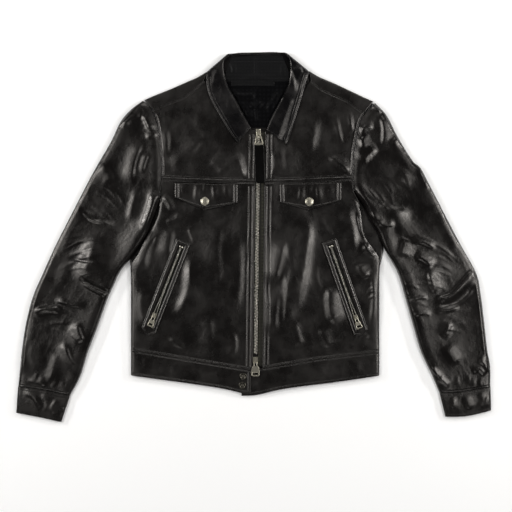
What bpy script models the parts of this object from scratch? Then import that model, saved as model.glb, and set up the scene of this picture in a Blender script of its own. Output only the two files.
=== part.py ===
"""A black leather zip jacket with a turn-down collar, lying flat on its back.

Metres in the scene, +Z up, +Y towards the collar, +X to the right of somebody looking down at the
fronts. "Left" and "right" in the names are that viewer's. The origin is under the middle of the
garment, on the surface that it lies on. Sizes are written in millimetres and turned into metres
where a mesh is made.
"""
import math

import bmesh
import bpy
from mathutils import Matrix, Vector

MM = 0.001

# ---- Driving sizes, mm -----------------------------------------------------------------------
WALL = 2.0                # shell leather with its lining
COLLAR_WALL = 2.4         # two layers and their stiffening
FLAP_WALL = 2.2
SEAM_GAP = 0.3            # between pieces that are sewn to each other
UNDER_MID = WALL / 2      # middle of the layer that lies on the ground
TOP_LIFT = 5.5            # middle of the upper layer over the middle of the lower one
EDGE_MID = 1.5            # middle of the upper layer where it is folded down to the ground
EDGE_REACH = 10.0         # how far a folded edge takes to reach its full height
UNDER_INSET = 3.4         # the lower layer stops this far inside a folded edge
ARMHOLE_GAP = 1.4         # the sleeve's rolled edge stands this far from the body
ON_TOP = 0.6              # clear space under what is sewn on a panel
YOKE_INSET = 1.2          # the back yoke stops this far inside the armhole
YOKE_HOLE_END_Y = 256.0   # above this the back yoke turns forward over the shoulder
UNDERARM_GAP = 1.2        # between a front and the sleeve's rolled edge
SLEEVE_STEP = 2.7         # how far the back panel's edge lifts the sleeve that lies on it

# ---- Seam lines, mm: each runs from the hem or cuff upwards -----------------------------------
ARMHOLE = {
    "left": [(-179.5, 70), (-176.8, 106), (-176, 140), (-178.5, 170), (-183.5, 211),
             (-192.4, 240), (-201.7, 253.8), (-213.5, 262)],
    "right": [(193, 86), (190, 107), (191, 135), (193, 165), (199.8, 200),
              (206, 224), (219, 243), (234.5, 257.5)],
}
SLEEVE_OUTER = {
    "left": [(-453.4, -287.6), (-450.5, -260), (-446, -215), (-438, -165), (-426, -118), (-408, -75),
             (-380, -14), (-350, 45), (-310, 122), (-276, 181), (-256, 222), (-236, 245), (-213.5, 262)],
    "right": [(456.4, -288.5), (456, -250), (450, -215), (444, -160), (437, -105), (429, -70),
              (400, -17), (371, 38), (340, 98), (322, 132), (306, 147), (277, 194), (257, 233),
              (234.5, 257.5)],
}
SLEEVE_INNER = {
    "left": [(-352.8, -305.3), (-334, -269), (-319.5, -223), (-303, -180), (-283, -124), (-272, -99),
             (-256, -66), (-231, -36), (-205.5, 3), (-191, 37), (-179.5, 70)],
    "right": [(358, -300), (345, -269), (323.5, -223), (308, -172), (293, -119), (278, -70),
              (253, -26), (241, 4), (226, 29), (212, 58), (193, 86)],
}
BODY_SIDE = {
    "left": [(-236.4, -217), (-236.4, -150), (-236.4, -80), (-236, -54), (-223, -33), (-212, -11),
             (-195, 20), (-185.5, 42), (-179.5, 70)],
    "right": [(242.6, -220), (242.6, -150), (242.6, -80), (242.6, -42), (227, -17), (213, 4), (209, 38),
              (202, 66), (193, 86)],
}
BACK_SIDE = {   # the back reaches a little way under the sleeves and closes the gap beside the fronts
    "left": [(-233, -223), (-233, -150), (-233, -80), (-238, -48), (-228, -22), (-212, 6), (-197, 32),
             (-183, 68)],
    "right": [(239, -226), (239, -150), (239, -80), (247, -44), (250, -16), (240, 12), (222, 44),
              (196, 84)],
}
SHOULDER_SEAM = {
    "left": [(-194, 244.5), (-174.7, 252.4), (-155.5, 259.6), (-136, 268), (-116, 282), (-96, 300)],
    "right": [(214.0, 238.2), (200, 247), (184, 258.5), (167, 267), (131, 284), (111, 301)],
}
SHOULDER_FOLD = {
    "left": [(-210.5, 263), (-192, 271), (-160, 284), (-118.7, 302), (-95, 312)],
    "right": [(231, 260), (205.5, 271.5), (161, 292.5), (125, 308), (111.5, 314)],
}
NECKLINE = {
    "left": [(-96, 300), (-74, 266), (-44, 232), (-12, 204)],
    "right": [(111, 301), (88, 266), (58, 232), (30, 202)],
}
BACK_NECK = [(-95, 307.8), (-84, 304.5), (-62, 301.5), (8, 300), (76, 301.8), (98, 305.5), (111, 309.5)]
CHEST_SEAM = {"left": [(-176.8, 106), (-120, 103.5), (-60, 101.5), (3.5, 100.5)],
              "right": [(21.5, 100.5), (80, 102), (140, 105), (190, 107)]}
BAND_TOP = {
    "left": [(-236.4, -217), (-160, -229.5), (-80, -243), (-1, -256.5)],
    "right": [(16.5, -253), (60, -245.5), (111, -236.5), (182, -227.5), (242.6, -220)],
}
BAND_BOTTOM = {
    "left": [(-236.4, -267), (-222, -269.5), (-136, -281), (-61, -292.4), (-24, -301), (-5, -303.5)],
    "right": [(-23, -307), (7, -305), (61, -293), (153, -281), (232, -269.5), (242.6, -267)],
}
TAB_END = -23.0           # the right band's tab ends here, under the left band
BAND_END = -5.0           # the left band ends here, over the tab
BACK_YOKE_SEAM_Y = 200.0
BACK_SEAM_END = {"left": -181.0, "right": 198.6}
BACK_HEM = [(239, -226), (8, -238), (-233, -223)]
BACK_BAND_BOTTOM = [(-233, -266), (-120, -273), (8, -276), (120, -273), (239, -266)]
ZIP_TOP_Y, ZIP_BOTTOM_Y = 206.0, -223.0
ZIP_CHAIN = 8.0
ZIP_LEFT_LEATHER, ZIP_RIGHT_LEATHER = 5.6, 13.0   # leather edges beside the middle of the teeth

CUFF = {
    "left": {"seam": [(-453.4, -287.6), (-406.3, -294.3), (-352.8, -305.3)],
             "hem": [(-457.2, -339.3), (-410.1, -348.4), (-370.2, -357.2)]},
    "right": {"seam": [(456.4, -288.5), (400.5, -298), (358, -300)],
              "hem": [(457.8, -335), (411.3, -345.7), (369.6, -347.2)]},
}
CUFF_HIGH, CUFF_LOW, CUFF_ROUND = 5.2, 1.1, 3.1   # middles of its two layers, and its folds
FLAP = {
    "left": [(-151.5, 102), (-151.5, 74.3), (-95.5, 50.2), (-30, 63.7), (-30, 99.6)],
    "right": [(49.5, 99.8), (51, 64.7), (106.2, 50.2), (168.9, 68.5), (168.9, 103.3)],
}
FLAP_SNAP = {"left": (-93.6, 67.2), "right": (107.1, 66.6)}
WELT = {   # upper and lower end of the slit's middle line
    "left": {"top": (-134.5, -8.5), "bottom": (-201.5, -180.5)},
    "right": {"top": (144.5, -7.5), "bottom": (206.5, -184.5)},
}
WELT_WIDTH, WELT_SLOT = 30.0, 12.0
BAND_SNAPS = {"upper": (-19.9, -269.2), "lower": (-21.6, -286.6)}

# Collar: roll line and free edge of each leaf, the roll behind the neck and the fall's edge
COLLAR_ROLL = {
    "left": [(-5, 208.6), (-17, 230.6), (-36, 266), (-50, 291), (-57, 318), (-57.5, 336), (-50, 350)],
    "right": [(25.5, 204.6), (34, 227.5), (53, 264), (67, 291), (71, 318), (70.5, 338), (63, 352.5)],
}
COLLAR_EDGE = {
    "left": [(-31, 180.8), (-45, 199), (-78, 254.6), (-88.8, 285), (-90.5, 315)],
    "right": [(64.1, 176), (72, 200), (91.7, 264), (102.7, 302), (107, 316.5)],
}
ROLL_BACK = [(-50, 350), (-44, 352.6), (3, 353.8), (56, 354.8), (63, 352.5)]
FALL_EDGE = [(-90.5, 315), (-76, 309), (-40, 305), (8, 304.3), (54, 305.3), (90, 311), (107, 316.5)]
FALL_MID, LEAF_MID = COLLAR_WALL / 2, 9.3
LEAF_LIP, FALL_LIP = 2.8, 3.2      # how far the leaf's inner edge rolls down and the fall's rolls up
ACROSS = (0.0, 0.03, 0.1, 0.32, 0.55, 0.78, 1.0)
LEAF_STEPS, FALL_STEPS = 8, 8
STAND_WALL, STAND_MID = 1.8, 3.9
STAND_LOW = [(-60, 301.5), (8, 300.6), (76, 302)]
STAND_HIGH = [(-44, 345), (3, 348.5), (56, 347)]
STRIP = [(-43, 290), (40, 290), (40, 299.8), (-43, 299.8)]
STRIP_LOW, STRIP_HIGH = 3.6, 4.4
NECK_LINING = [(-58, 297), (-62, 270), (-40, 236), (-8, 210), (26, 210), (60, 236), (80, 270), (74, 297)]
LINING_WALL = 0.9

# Zip metal
ARCH_WINDOW = 3.0         # clear height under a slider's bridge
ARCH_BAR = 1.2            # height of the bridge's beam
ARCH_WIDTH, ARCH_END = 2.2, 0.7   # its width, and how far it stops inside the slider's ends
SLIDER_BEVEL = 0.6
POST_HIGH, POST_LOW = 1.3, 0.9   # thickness of the bridge's upper and lower post
PULL_WALL = 1.4
PIN = 0.8                 # half the width of the pull's end that runs under the bridge
PIN_BACK = 3.0            # from the slider's lower end up to the pull's axis
EYE_HALF, EYE_END = 2.1, 7.8     # the eye's half width, and how far it reaches from the axis
EYE_ARM = 1.3
FRONT_SLIDER = (9.2, 12.5, 4.6)  # width, length and height of the body
FRONT_GROUND = 3.2
POCKET_SLIDER = (8.6, 9.5, 2.4)
POCKET_SLIDER_BACK = 26.0        # from the slit's lower end up to the slider's lower end
TOP_SLIDER_END = (9.8, 194.5)
TOP_WAY = (0.03467, -0.9994)
BOTTOM_SLIDER_END = (3.8, -244.5)
BOTTOM_WAY = (0.0, -1.0)
TAB_START, TAB_LENGTH, TAB_WIDTH, TAB_WALL = 22.0, 73.0, 19.0, 2.2
PULL_SIZES = {                   # outline, width, length, and slope down to the leather in degrees
    "zip_clip_top": ("clip", 17.0, TAB_START - 0.4, 0.6),
    "zip_pull_bottom": ("bar", 16.0, 27.0, 1.2),
    "pocket_pull": ("bar", 12.5, 21.0, 3.0),
}
TAPE_MID, TAPE_WALL, TAPE_NEAR, TAPE_FAR = 3.0, 0.9, 5.0, 19.0
TAPE_LOW_Y, TAPE_HIGH_Y = -250.0, 202.0
CHAIN_MID, CHAIN_WALL, CHAIN_END = 4.6, 2.6, 4.0
WELT_WALL, WELT_END, POCKET_TAPE_WALL = 1.8, 9.0, 1.4

# Snaps: radius, height, and clear space under the cap
FLAP_CAP = (8.5, 2.6, 0.8)
BAND_CAP = (7.4, 2.2, 0.5)

# Largest folds of the upper layer: start, end, half width and height
FRONT_FOLDS = [
    ((72, 0), (45, -85), 16, 1.2), ((110, -8), (90, -140), 16, 1.3), ((153, -130), (157, -175), 14, 1.0),
    ((-116, -50), (-145, -160), 18, 1.1), ((-160, 20), (-205, -40), 16, 1.0),
]
SLEEVE_FOLDS = [
    ((-412, -145), (-365, -170), 18, 1.5), ((-325, -55), (-300, -80), 16, 1.2),
    ((-330, -30), (-290, -55), 15, 1.0), ((-262, 195), (-215, 190), 16, 1.2),
    ((425, -72), (352, -125), 18, 1.6), ((300, -20), (345, -60), 18, 1.2),
    ((310, -60), (350, -95), 16, 1.1), ((262, 200), (248, 120), 18, 1.2),
]

# ---- Colours: linear RGBA, roughness, metallic --------------------------------------------------
LEATHER = ((0.012, 0.011, 0.010, 1), 0.42, 0.0)
COLLAR_LEATHER = ((0.011, 0.010, 0.011, 1), 0.5, 0.0)
LINING = ((0.004, 0.004, 0.005, 1), 0.85, 0.0)
TAPE = ((0.05, 0.05, 0.035, 1), 0.9, 0.0)
NICKEL = ((0.48, 0.46, 0.38, 1), 0.3, 1.0)
DARK_NICKEL = ((0.16, 0.15, 0.13, 1), 0.4, 1.0)


# ---- Curves and heights -------------------------------------------------------------------------
def blend(low, high, value):
    """0 below low, 1 above high, and an S-curve between them."""
    t = min(max((value - low) / (high - low), 0.0), 1.0)
    return t * t * (3 - 2 * t)


def catmull(p0, p1, p2, p3, t):
    """A point between p1 and p2 on a smooth curve through all four."""
    return 0.5 * ((2 * p1) + (p2 - p0) * t + (2 * p0 - 5 * p1 + 4 * p2 - p3) * t * t
                  + (3 * p1 - p0 - 3 * p2 + p3) * t ** 3)


def dense(points, steps=8):
    """A smooth line through the points, as a close run of points."""
    pts = [Vector(p) for p in points]
    if len(pts) == 2:
        return [pts[0].lerp(pts[1], i / steps) for i in range(steps + 1)]
    ends = [2 * pts[0] - pts[1]] + pts + [2 * pts[-1] - pts[-2]]
    line = []
    for i in range(1, len(ends) - 2):
        line += [catmull(*ends[i - 1:i + 3], step / steps) for step in range(steps)]
    return line + [pts[-1]]


def at_lengths(line, fractions):
    """Points of a run of points at these shares of its length."""
    sums = [0.0]
    for a, b in zip(line, line[1:]):
        sums.append(sums[-1] + (b - a).length)
    found = []
    for share in fractions:
        target = share * sums[-1]
        i = 1
        while i < len(sums) - 1 and sums[i] < target:
            i += 1
        step = sums[i] - sums[i - 1]
        found.append(line[i - 1].lerp(line[i], (target - sums[i - 1]) / step if step else 0.0))
    return found


def moved(line, distance):
    """The line moved sideways: to its left, as it runs, where distance is above 0."""
    out = []
    for i, p in enumerate(line):
        way = (line[min(i + 1, len(line) - 1)] - line[max(i - 1, 0)]).normalized()
        out.append(p + Vector((-way.y, way.x)) * distance)
    return out


def distance_to(line, x, y):
    """Shortest distance from a point to a run of points."""
    p = Vector((x, y))
    best = 1e9
    for a, b in zip(line, line[1:]):
        ab = b - a
        t = min(max((p - a).dot(ab) / ab.length_squared, 0.0), 1.0) if ab.length_squared else 0.0
        best = min(best, (p - a - ab * t).length)
    return best


def zip_x(y):
    """Middle of the front zip's teeth at this height of the body."""
    return 4.0 + 6.0 * (y + 228.0) / 436.0


def ease_up(distance, reach):
    """A quarter round: 0 at a folded edge and 1 from reach inwards."""
    t = min(max(distance / reach, 0.0), 1.0)
    return math.sqrt(1 - (1 - t) ** 2)


SIDE_LINE = {side: dense(points) for side, points in BODY_SIDE.items()}
OUTER_LINE = {side: dense(points) for side, points in SLEEVE_OUTER.items()}
INNER_LINE = {side: dense(points) for side, points in SLEEVE_INNER.items()}
BACK_LINE = {side: dense(points) for side, points in BACK_SIDE.items()}

def folds_at(folds, x, y):
    """Height that the soft folds add at a point."""
    height = 0.0
    for start, end, half_width, rise in folds:
        near = distance_to([Vector(start), Vector(end)], x, y)
        height = max(height, rise * (1 - blend(0, 1.6 * half_width, near)))
    return height


def front_mid(x, y):
    """Middle height of the fronts, with their waistband, over the ground."""
    side = "left" if x < 8 else "right"
    edge = ease_up(distance_to(SIDE_LINE[side], x, y), EDGE_REACH) if y > -220 else \
        ease_up(abs(x - SIDE_LINE[side][0].x), EDGE_REACH)
    edge = max(edge, blend(30, 78, y))
    near_zip = 1 - blend(14, 70, abs(x - zip_x(y)))
    low_hem = 1 - blend(-235, -150, y)
    full = UNDER_MID + TOP_LIFT - 1.3 * near_zip - 1.1 * low_hem * (1 - near_zip)
    low = EDGE_MID + 2.2 * blend(-96, -70, y)
    return low + (full + folds_at(FRONT_FOLDS, x, y) - low) * edge


def over_body(side, x, y):
    """1 where a sleeve lies on the back panel's edge and 0 well away from it."""
    line = BACK_LINE[side]
    outward = -1 if side == "left" else 1
    near = distance_to(line, x, y)
    inside = any(abs(p.y - y) < 8 and (x - p.x) * outward < 0 for p in line)
    return (1.0 if inside else 1 - blend(3, 42, near)) * (1 - blend(76, 128, y)) * blend(-125, -62, y)


def sleeve_under_mid(side, x, y):
    """Middle height of a sleeve's lower layer."""
    return UNDER_MID + SLEEVE_STEP * over_body(side, x, y)


def sleeve_top_mid(side, x, y):
    """Middle height of a sleeve's upper layer."""
    outer = ease_up(distance_to(OUTER_LINE[side], x, y), EDGE_REACH)
    inner = ease_up(distance_to(INNER_LINE[side], x, y), EDGE_REACH)
    low = sleeve_under_mid(side, x, y)
    cuff = 1 - blend(-290, -200, y)
    full = low + TOP_LIFT - 0.9 * cuff + folds_at(SLEEVE_FOLDS, x, y)
    edge_low = low + EDGE_MID - UNDER_MID
    return edge_low + (full - edge_low) * min(outer, inner)


# ---- Making objects -----------------------------------------------------------------------------
def new_material(name, look):
    """A Principled material of one colour, roughness and metallic value."""
    colour, roughness, metallic = look
    material = bpy.data.materials.new(name)
    material.use_nodes = True
    shader = material.node_tree.nodes["Principled BSDF"]
    shader.inputs["Base Color"].default_value = colour
    shader.inputs["Roughness"].default_value = roughness
    shader.inputs["Metallic"].default_value = metallic
    return material


def add_object(name, mesh, look, collection="jacket"):
    """An object of this mesh, with its own material, in one of the two collections."""
    obj = bpy.data.objects.new(name, mesh)
    bpy.data.collections[collection].objects.link(obj)
    if collection == "jacket":
        mesh.materials.clear()
        mesh.materials.append(new_material(name + "_look", look))
    else:
        obj.hide_render = True
        obj.display_type = "WIRE"
    return obj


def grid_mesh(name, patches, closed_rows=False):
    """One open mesh from patches of points, each a list of rows; equal points are welded."""
    bm = bmesh.new()
    for rows in patches:
        verts = [[bm.verts.new(Vector(p) * MM) for p in row] for row in rows]
        for low, high in zip(verts, verts[1:]):
            pairs = list(zip(range(len(low)), range(1, len(low))))
            if closed_rows:
                pairs.append((len(low) - 1, 0))
            for i, j in pairs:
                bm.faces.new((low[i], low[j], high[j], high[i]))
    bmesh.ops.remove_doubles(bm, verts=bm.verts, dist=0.00002)
    bmesh.ops.recalc_face_normals(bm, faces=bm.faces)
    mesh = bpy.data.meshes.new(name)
    bm.to_mesh(mesh)
    bm.free()
    return mesh


def add_wall(obj, thickness):
    """Gives an open sheet its wall, half on each side."""
    solid = obj.modifiers.new("wall", "SOLIDIFY")
    solid.thickness = thickness * MM
    solid.offset = 0.0
    return obj


def sheet(name, rows, look=LEATHER, thickness=WALL, closed_rows=False):
    """A cloth piece: a lofted sheet with a wall."""
    return add_wall(add_object(name, grid_mesh(name, [rows], closed_rows), look), thickness)


def coons(bottom, top, left, right, columns, rows):
    """Points of the patch inside four lines. columns and rows are shares from 0 to 1."""
    low, high = at_lengths(bottom, columns), at_lengths(top, columns)
    west, east = at_lengths(left, rows), at_lengths(right, rows)
    return patch(low, high, west, east, columns, rows)


def patch(low, high, west, east, columns, rows):
    """Points of the patch between four rows of points that are already spaced."""
    grid = []
    for v, a, b in zip(rows, west, east):
        line = []
        for u, c, d in zip(columns, low, high):
            corners = (low[0] * (1 - u) + low[-1] * u) * (1 - v) + (high[0] * (1 - u) + high[-1] * u) * v
            line.append(c * (1 - v) + d * v + a * (1 - u) + b * u - corners)
        grid.append(line)
    return grid


def raised(grid, height):
    """The patch with its heights, as rows of 3D points."""
    return [[(p.x, p.y, height(p.x, p.y)) for p in row] for row in grid]


def shares(count, start_edge=(), end_edge=()):
    """Even shares from 0 to 1, with closer ones beside a folded edge."""
    even = [i / count for i in range(count + 1)]
    inner = [s for s in even if (not start_edge or s > start_edge[-1] * 1.4)
             and (not end_edge or s < 1 - end_edge[-1] * 1.4)]
    first = [0.0, *start_edge] if start_edge else []
    last = [1 - s for s in reversed(end_edge)] + [1.0] if end_edge else []
    return first + inner + last


def flat_outline(name, points, low, high, look):
    """A flat piece between two heights: a closed outline, filled and extruded."""
    curve = bpy.data.curves.new(name, "CURVE")
    curve.dimensions = "2D"
    curve.fill_mode = "BOTH"
    curve.extrude = (high - low) / 2 * MM
    spline = curve.splines.new("POLY")
    spline.points.add(len(points) - 1)
    for target, p in zip(spline.points, points):
        target.co = (p[0] * MM, p[1] * MM, 0, 1)
    spline.use_cyclic_u = True
    obj = add_object(name, curve, look)
    obj.location = (0, 0, (low + high) / 2 * MM)
    return obj


def near_shares(width):
    """Shares that put two rows of points on a folded edge's round, for a piece of this width."""
    return (3.0 / width, EDGE_REACH / width)


# ---- Body ---------------------------------------------------------------------------------------
def add_back():
    """The back panel, the back yoke that wraps over the shoulders, and the back of the band."""
    holes = {side: moved([p for p in dense(ARMHOLE[side]) if p.y < BACK_YOKE_SEAM_Y],
                         -SEAM_GAP if side == "left" else SEAM_GAP) for side in ("left", "right")}
    west = BACK_LINE["left"][::3] + holes["left"][2::3]
    east = BACK_LINE["right"][::3] + holes["right"][2::3]
    top = [Vector((BACK_SEAM_END[side], BACK_YOKE_SEAM_Y)) for side in ("left", "right")]
    hem = at_lengths(dense(BACK_HEM), [i / 8 for i in range(1, 8)])
    outline = west + top + east[::-1] + hem
    flat_outline("back_panel", outline, 0.0, WALL, LEATHER)

    low = at_lengths(dense(BACK_BAND_BOTTOM), shares(12))
    high = moved(at_lengths(dense(BACK_HEM), shares(12)), SEAM_GAP)
    flat_outline("waistband_back", low + high, 0.0, WALL, LEATHER)


def add_back_yoke():
    """Flat behind the neck; over each shoulder it turns back to the seam on the fronts."""
    seam_y = BACK_YOKE_SEAM_Y + SEAM_GAP
    neck = at_lengths(dense(BACK_NECK), [i / 8 for i in range(9)])
    depth = [i / 4 for i in range(5)]
    patches = [[[(p.x, seam_y + (p.y - seam_y) * d, UNDER_MID) for d in depth] for p in neck]]
    for side in ("left", "right"):
        fold = at_lengths(dense(SHOULDER_FOLD[side]), [i / 6 for i in range(7)])
        seam = at_lengths(dense(SHOULDER_SEAM[side]), [i / 6 for i in range(7)])
        neck_end = neck[0] if side == "left" else neck[-1]
        rows = []
        inward = Vector((YOKE_INSET if side == "left" else -YOKE_INSET, 0))
        hole = [p + inward for p in dense(ARMHOLE[side]) if BACK_YOKE_SEAM_Y < p.y < YOKE_HOLE_END_Y]
        for i, (f, s) in enumerate(zip(fold, seam)):
            radius = (front_mid(s.x, s.y) - UNDER_MID) / 2
            way = (f - s).normalized()
            turn = f - way * (radius + 1.0) if i < 6 else neck_end
            foot = Vector((BACK_SEAM_END[side], seam_y)).lerp(Vector((neck_end.x, seam_y)), i / 6)
            flat = at_lengths([foot, *hole, turn], depth) if i == 0 else [foot.lerp(turn, d) for d in depth]
            row = [(*p, UNDER_MID) for p in flat]
            for angle in (-45, 0, 45, 90):
                a = math.radians(angle)
                p = turn + way * radius * math.cos(a)
                row.append((p.x, p.y, UNDER_MID + radius * (1 + math.sin(a))))
            end = s + way * SEAM_GAP
            row.append((end.x, end.y, UNDER_MID + 2 * radius))
            rows.append(row)
        patches.append(rows)
    yoke = add_object("back_yoke", grid_mesh("back_yoke", patches), LEATHER)
    return add_wall(yoke, WALL)


def zip_side(side, low_y, high_y):
    """The leather's edge beside the front zip, from low_y up to high_y."""
    reach = -ZIP_LEFT_LEATHER if side == "left" else ZIP_RIGHT_LEATHER
    return [Vector((zip_x(y) + reach, y)) for y in (low_y, (low_y + high_y) / 2, high_y)]


def add_front(side):
    """One front: the yoke above the chest seam and the panel below it."""
    left = side == "left"
    chest = dense(CHEST_SEAM[side])
    band = moved(dense(BAND_TOP[side]), SEAM_GAP)
    hole = [p for p in dense(ARMHOLE[side]) if p.y > chest[0 if left else -1].y]
    hole = moved([chest[0 if left else -1]] + [p for p in hole if p.y < (244 if left else 237)],
                 -SEAM_GAP if left else SEAM_GAP)
    sixths, rows = shares(6), shares(7)
    neck = at_lengths(dense(NECKLINE[side]), shares(4))
    top = at_lengths(dense(SHOULDER_SEAM[side]), sixths) + neck[1:]
    zip_edge = zip_side(side, chest[-1 if left else 0].y + SEAM_GAP, neck[-1].y)
    bottom = moved(chest, SEAM_GAP)
    columns = [0.6 * s for s in sixths] + [0.6 + 0.4 * s for s in shares(4)[1:]]
    west, east = (hole, zip_edge) if left else (zip_edge, hole)
    if not left:
        top, columns = top[::-1], [1 - s for s in reversed(columns)]
    west, east = at_lengths(west, rows), at_lengths(east, rows)
    bottom = at_lengths([west[0]] + bottom[1:-1] + [east[0]], columns)
    top = [west[-1]] + top[1:-1] + [east[-1]]
    sheet(f"front_yoke_{side}", raised(patch(bottom, top, west, east, columns, rows), front_mid))

    lower_side = SIDE_LINE[side]
    arm = [p for p in dense(ARMHOLE[side]) if lower_side[-1].y < p.y < chest[0 if left else -1].y]
    outer = moved(lower_side + arm, -UNDERARM_GAP if left else UNDERARM_GAP)
    outer[-1].y = chest[0 if left else -1].y - SEAM_GAP
    zip_edge = zip_side(side, band[-1 if left else 0].y, chest[-1 if left else 0].y)
    west, east = (outer, zip_edge) if left else (zip_edge, outer)
    edge = near_shares(225)
    columns = shares(10, start_edge=edge) if left else shares(10, end_edge=edge)
    grid = coons([west[0]] + band[1:-1] + [east[0]], [west[-1]] + chest[1:-1] + [east[-1]],
                 west, east, columns, shares(14))
    sheet(f"front_lower_{side}", raised(grid, front_mid))


def band_mid(side, x, y):
    """The bands lie lower over the tab's end, where the left one covers the right one."""
    height = front_mid(x, y)
    if side == "left":
        return height + (6.1 - height) * blend(-46, -28, x)
    return height + (3.4 - height) * (1 - blend(-3, 18, x))


def add_waistband(side):
    """One front half of the waistband; the right half ends in the tab under the left one."""
    left = side == "left"
    top, bottom = dense(BAND_TOP[side]), dense(BAND_BOTTOM[side])
    if left:
        top = [p for p in top if p.x < BAND_END] + [Vector((BAND_END, -256.0))]
    else:
        top = [Vector((TAB_END, -262)), Vector((0, -257))] + top
    west = [bottom[0], top[0]]
    east = [bottom[-1], top[-1]]
    edge = near_shares(240)
    columns = shares(14, start_edge=edge) if left else shares(15, end_edge=edge)
    grid = coons(bottom, top, west, east, columns, shares(3))
    sheet(f"waistband_{side}", raised(grid, lambda x, y: band_mid(side, x, y)))


# ---- Sleeves ------------------------------------------------------------------------------------
def add_sleeve(side):
    """The two pieces of a sleeve and its cuff."""
    left = side == "left"
    hole = moved(dense(ARMHOLE[side])[::-1], -ARMHOLE_GAP if left else ARMHOLE_GAP)
    seam = moved(dense(CUFF[side]["seam"]), SEAM_GAP if left else -SEAM_GAP)
    outer, inner = OUTER_LINE[side], INNER_LINE[side]
    edge = near_shares(110)
    columns, rows = shares(7, start_edge=edge, end_edge=edge), shares(20)
    grid = coons([outer[0]] + seam[1:-1] + [inner[0]], [outer[-1]] + hole[1:-1] + [inner[-1]],
                 outer, inner, columns, rows)
    for row in grid[-2:]:
        row[-1 if left else 0] += Vector((-ARMHOLE_GAP if left else ARMHOLE_GAP, 0))
    sheet(f"sleeve_top_{side}", raised(grid, lambda x, y: sleeve_top_mid(side, x, y)))

    inset = UNDER_INSET if not left else -UNDER_INSET
    outer_in, inner_in = moved(outer, inset), moved(inner, -inset)
    grid = coons([outer_in[0]] + seam[1:-1] + [inner_in[0]], [outer_in[-1]] + hole[2:-2] + [inner_in[-1]],
                 outer_in, inner_in, shares(7), shares(16))
    sheet(f"sleeve_under_{side}", raised(grid, lambda x, y: sleeve_under_mid(side, x, y)))

    add_cuff(side)


def add_cuff(side):
    """A cuff: a flat tube, closed round both folded edges."""
    tops, lows = dense(CUFF[side]["seam"]), dense(CUFF[side]["hem"])
    tops = moved(tops, -SEAM_GAP if side == "left" else SEAM_GAP)
    columns = shares(6)
    middle = (CUFF_HIGH + CUFF_LOW) / 2
    rows = []
    for v in (0.0, 0.5, 1.0):
        across = [a.lerp(b, v) for a, b in zip(at_lengths(tops, columns), at_lengths(lows, columns))]
        inward = (across[-1] - across[0]).normalized() * CUFF_ROUND
        ring = [(p.x, p.y, CUFF_HIGH) for p in [across[0] + inward, *across[1:-1], across[-1] - inward]]
        ring.append((*across[-1], middle))
        ring += [(p.x, p.y, CUFF_LOW) for p in [across[-1] - inward, *across[-2:0:-1], across[0] + inward]]
        ring.append((*across[0], middle))
        rows.append(ring)
    sheet(f"cuff_{side}", rows, thickness=WALL, closed_rows=True)


# ---- Collar and neck ----------------------------------------------------------------------------
def leaf_mid(x, y):
    """Middle height of a collar leaf on the front under it."""
    return max(LEAF_MID, front_mid(x, y) + (WALL + COLLAR_WALL) / 2 + ON_TOP) if y < 300 else LEAF_MID


def collar_section(roll, edge, lip, height, up):
    """One line across the collar, from its roll line to its free edge."""
    row = []
    for k, share in enumerate(ACROSS):
        p = roll.lerp(edge, share)
        drop = (1.0, 0.45, 0.05, 0, 0, 0, 0)[k] * lip
        row.append((p.x, p.y, height(p.x, p.y) + (drop if up else -drop)))
    return row


def collar_turn(roll, edge, inward):
    """The collar where it turns from the fronts, over its own fold, to the back of the neck."""
    rows = []
    half, middle = (LEAF_MID - FALL_MID) / 2, (LEAF_MID + FALL_MID) / 2
    for angle in (0, 45, 90, 135, 180):
        a = math.radians(angle)
        shift = inward * half * (1 - math.sin(a))
        rows.append([(*(roll.lerp(edge, share) + shift), middle + half * math.cos(a)) for share in ACROSS])
    return rows


def add_collar():
    """The collar: a leaf on each front, joined by the fall that lies behind the neck."""
    rows = []
    for side in ("left", "right"):
        steps = shares(LEAF_STEPS)[:-1]
        rolls = at_lengths(dense(COLLAR_ROLL[side]), steps)
        edges = at_lengths(dense(COLLAR_EDGE[side]), steps)
        leaf = [collar_section(r, e, LEAF_LIP * (1 - blend(0.7, 0.95, s)) * blend(-0.1, 0.3, s),
                               leaf_mid, False)
                for r, e, s in zip(rolls, edges, steps)]
        roll_end, edge_end = Vector(COLLAR_ROLL[side][-1]), Vector(COLLAR_EDGE[side][-1])
        way = (edge_end - roll_end).normalized()
        inward = Vector((-way.y, way.x)) if side == "left" else Vector((way.y, -way.x))
        turn = collar_turn(roll_end, edge_end, inward)
        if side == "left":
            rows += leaf + turn
            steps = shares(FALL_STEPS)[1:-1]
            backs = zip(at_lengths(dense(ROLL_BACK), steps), at_lengths(dense(FALL_EDGE), steps), steps)
            for r, e, s in backs:
                lip = FALL_LIP * blend(0.05, 0.25, s) * blend(0.05, 0.25, 1 - s)
                rows.append(collar_section(r, e, lip, lambda x, y: FALL_MID, True))
        else:
            rows += turn[::-1] + leaf[::-1]
    sheet("collar", rows, COLLAR_LEATHER, COLLAR_WALL)


def add_neck():
    """What shows inside the neck: the stand, the strip along its seam and the lining below."""
    low, high = dense(STAND_LOW), dense(STAND_HIGH)
    grid = coons(low, high, [low[0], high[0]], [low[-1], high[-1]], shares(8), shares(3))
    sheet("collar_stand", raised(grid, lambda x, y: STAND_MID), LINING, STAND_WALL)
    flat_outline("neck_strip", STRIP, STRIP_LOW, STRIP_HIGH, LINING)
    bottom = WALL + SEAM_GAP
    flat_outline("neck_lining", NECK_LINING, bottom, bottom + LINING_WALL, LINING)


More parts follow.
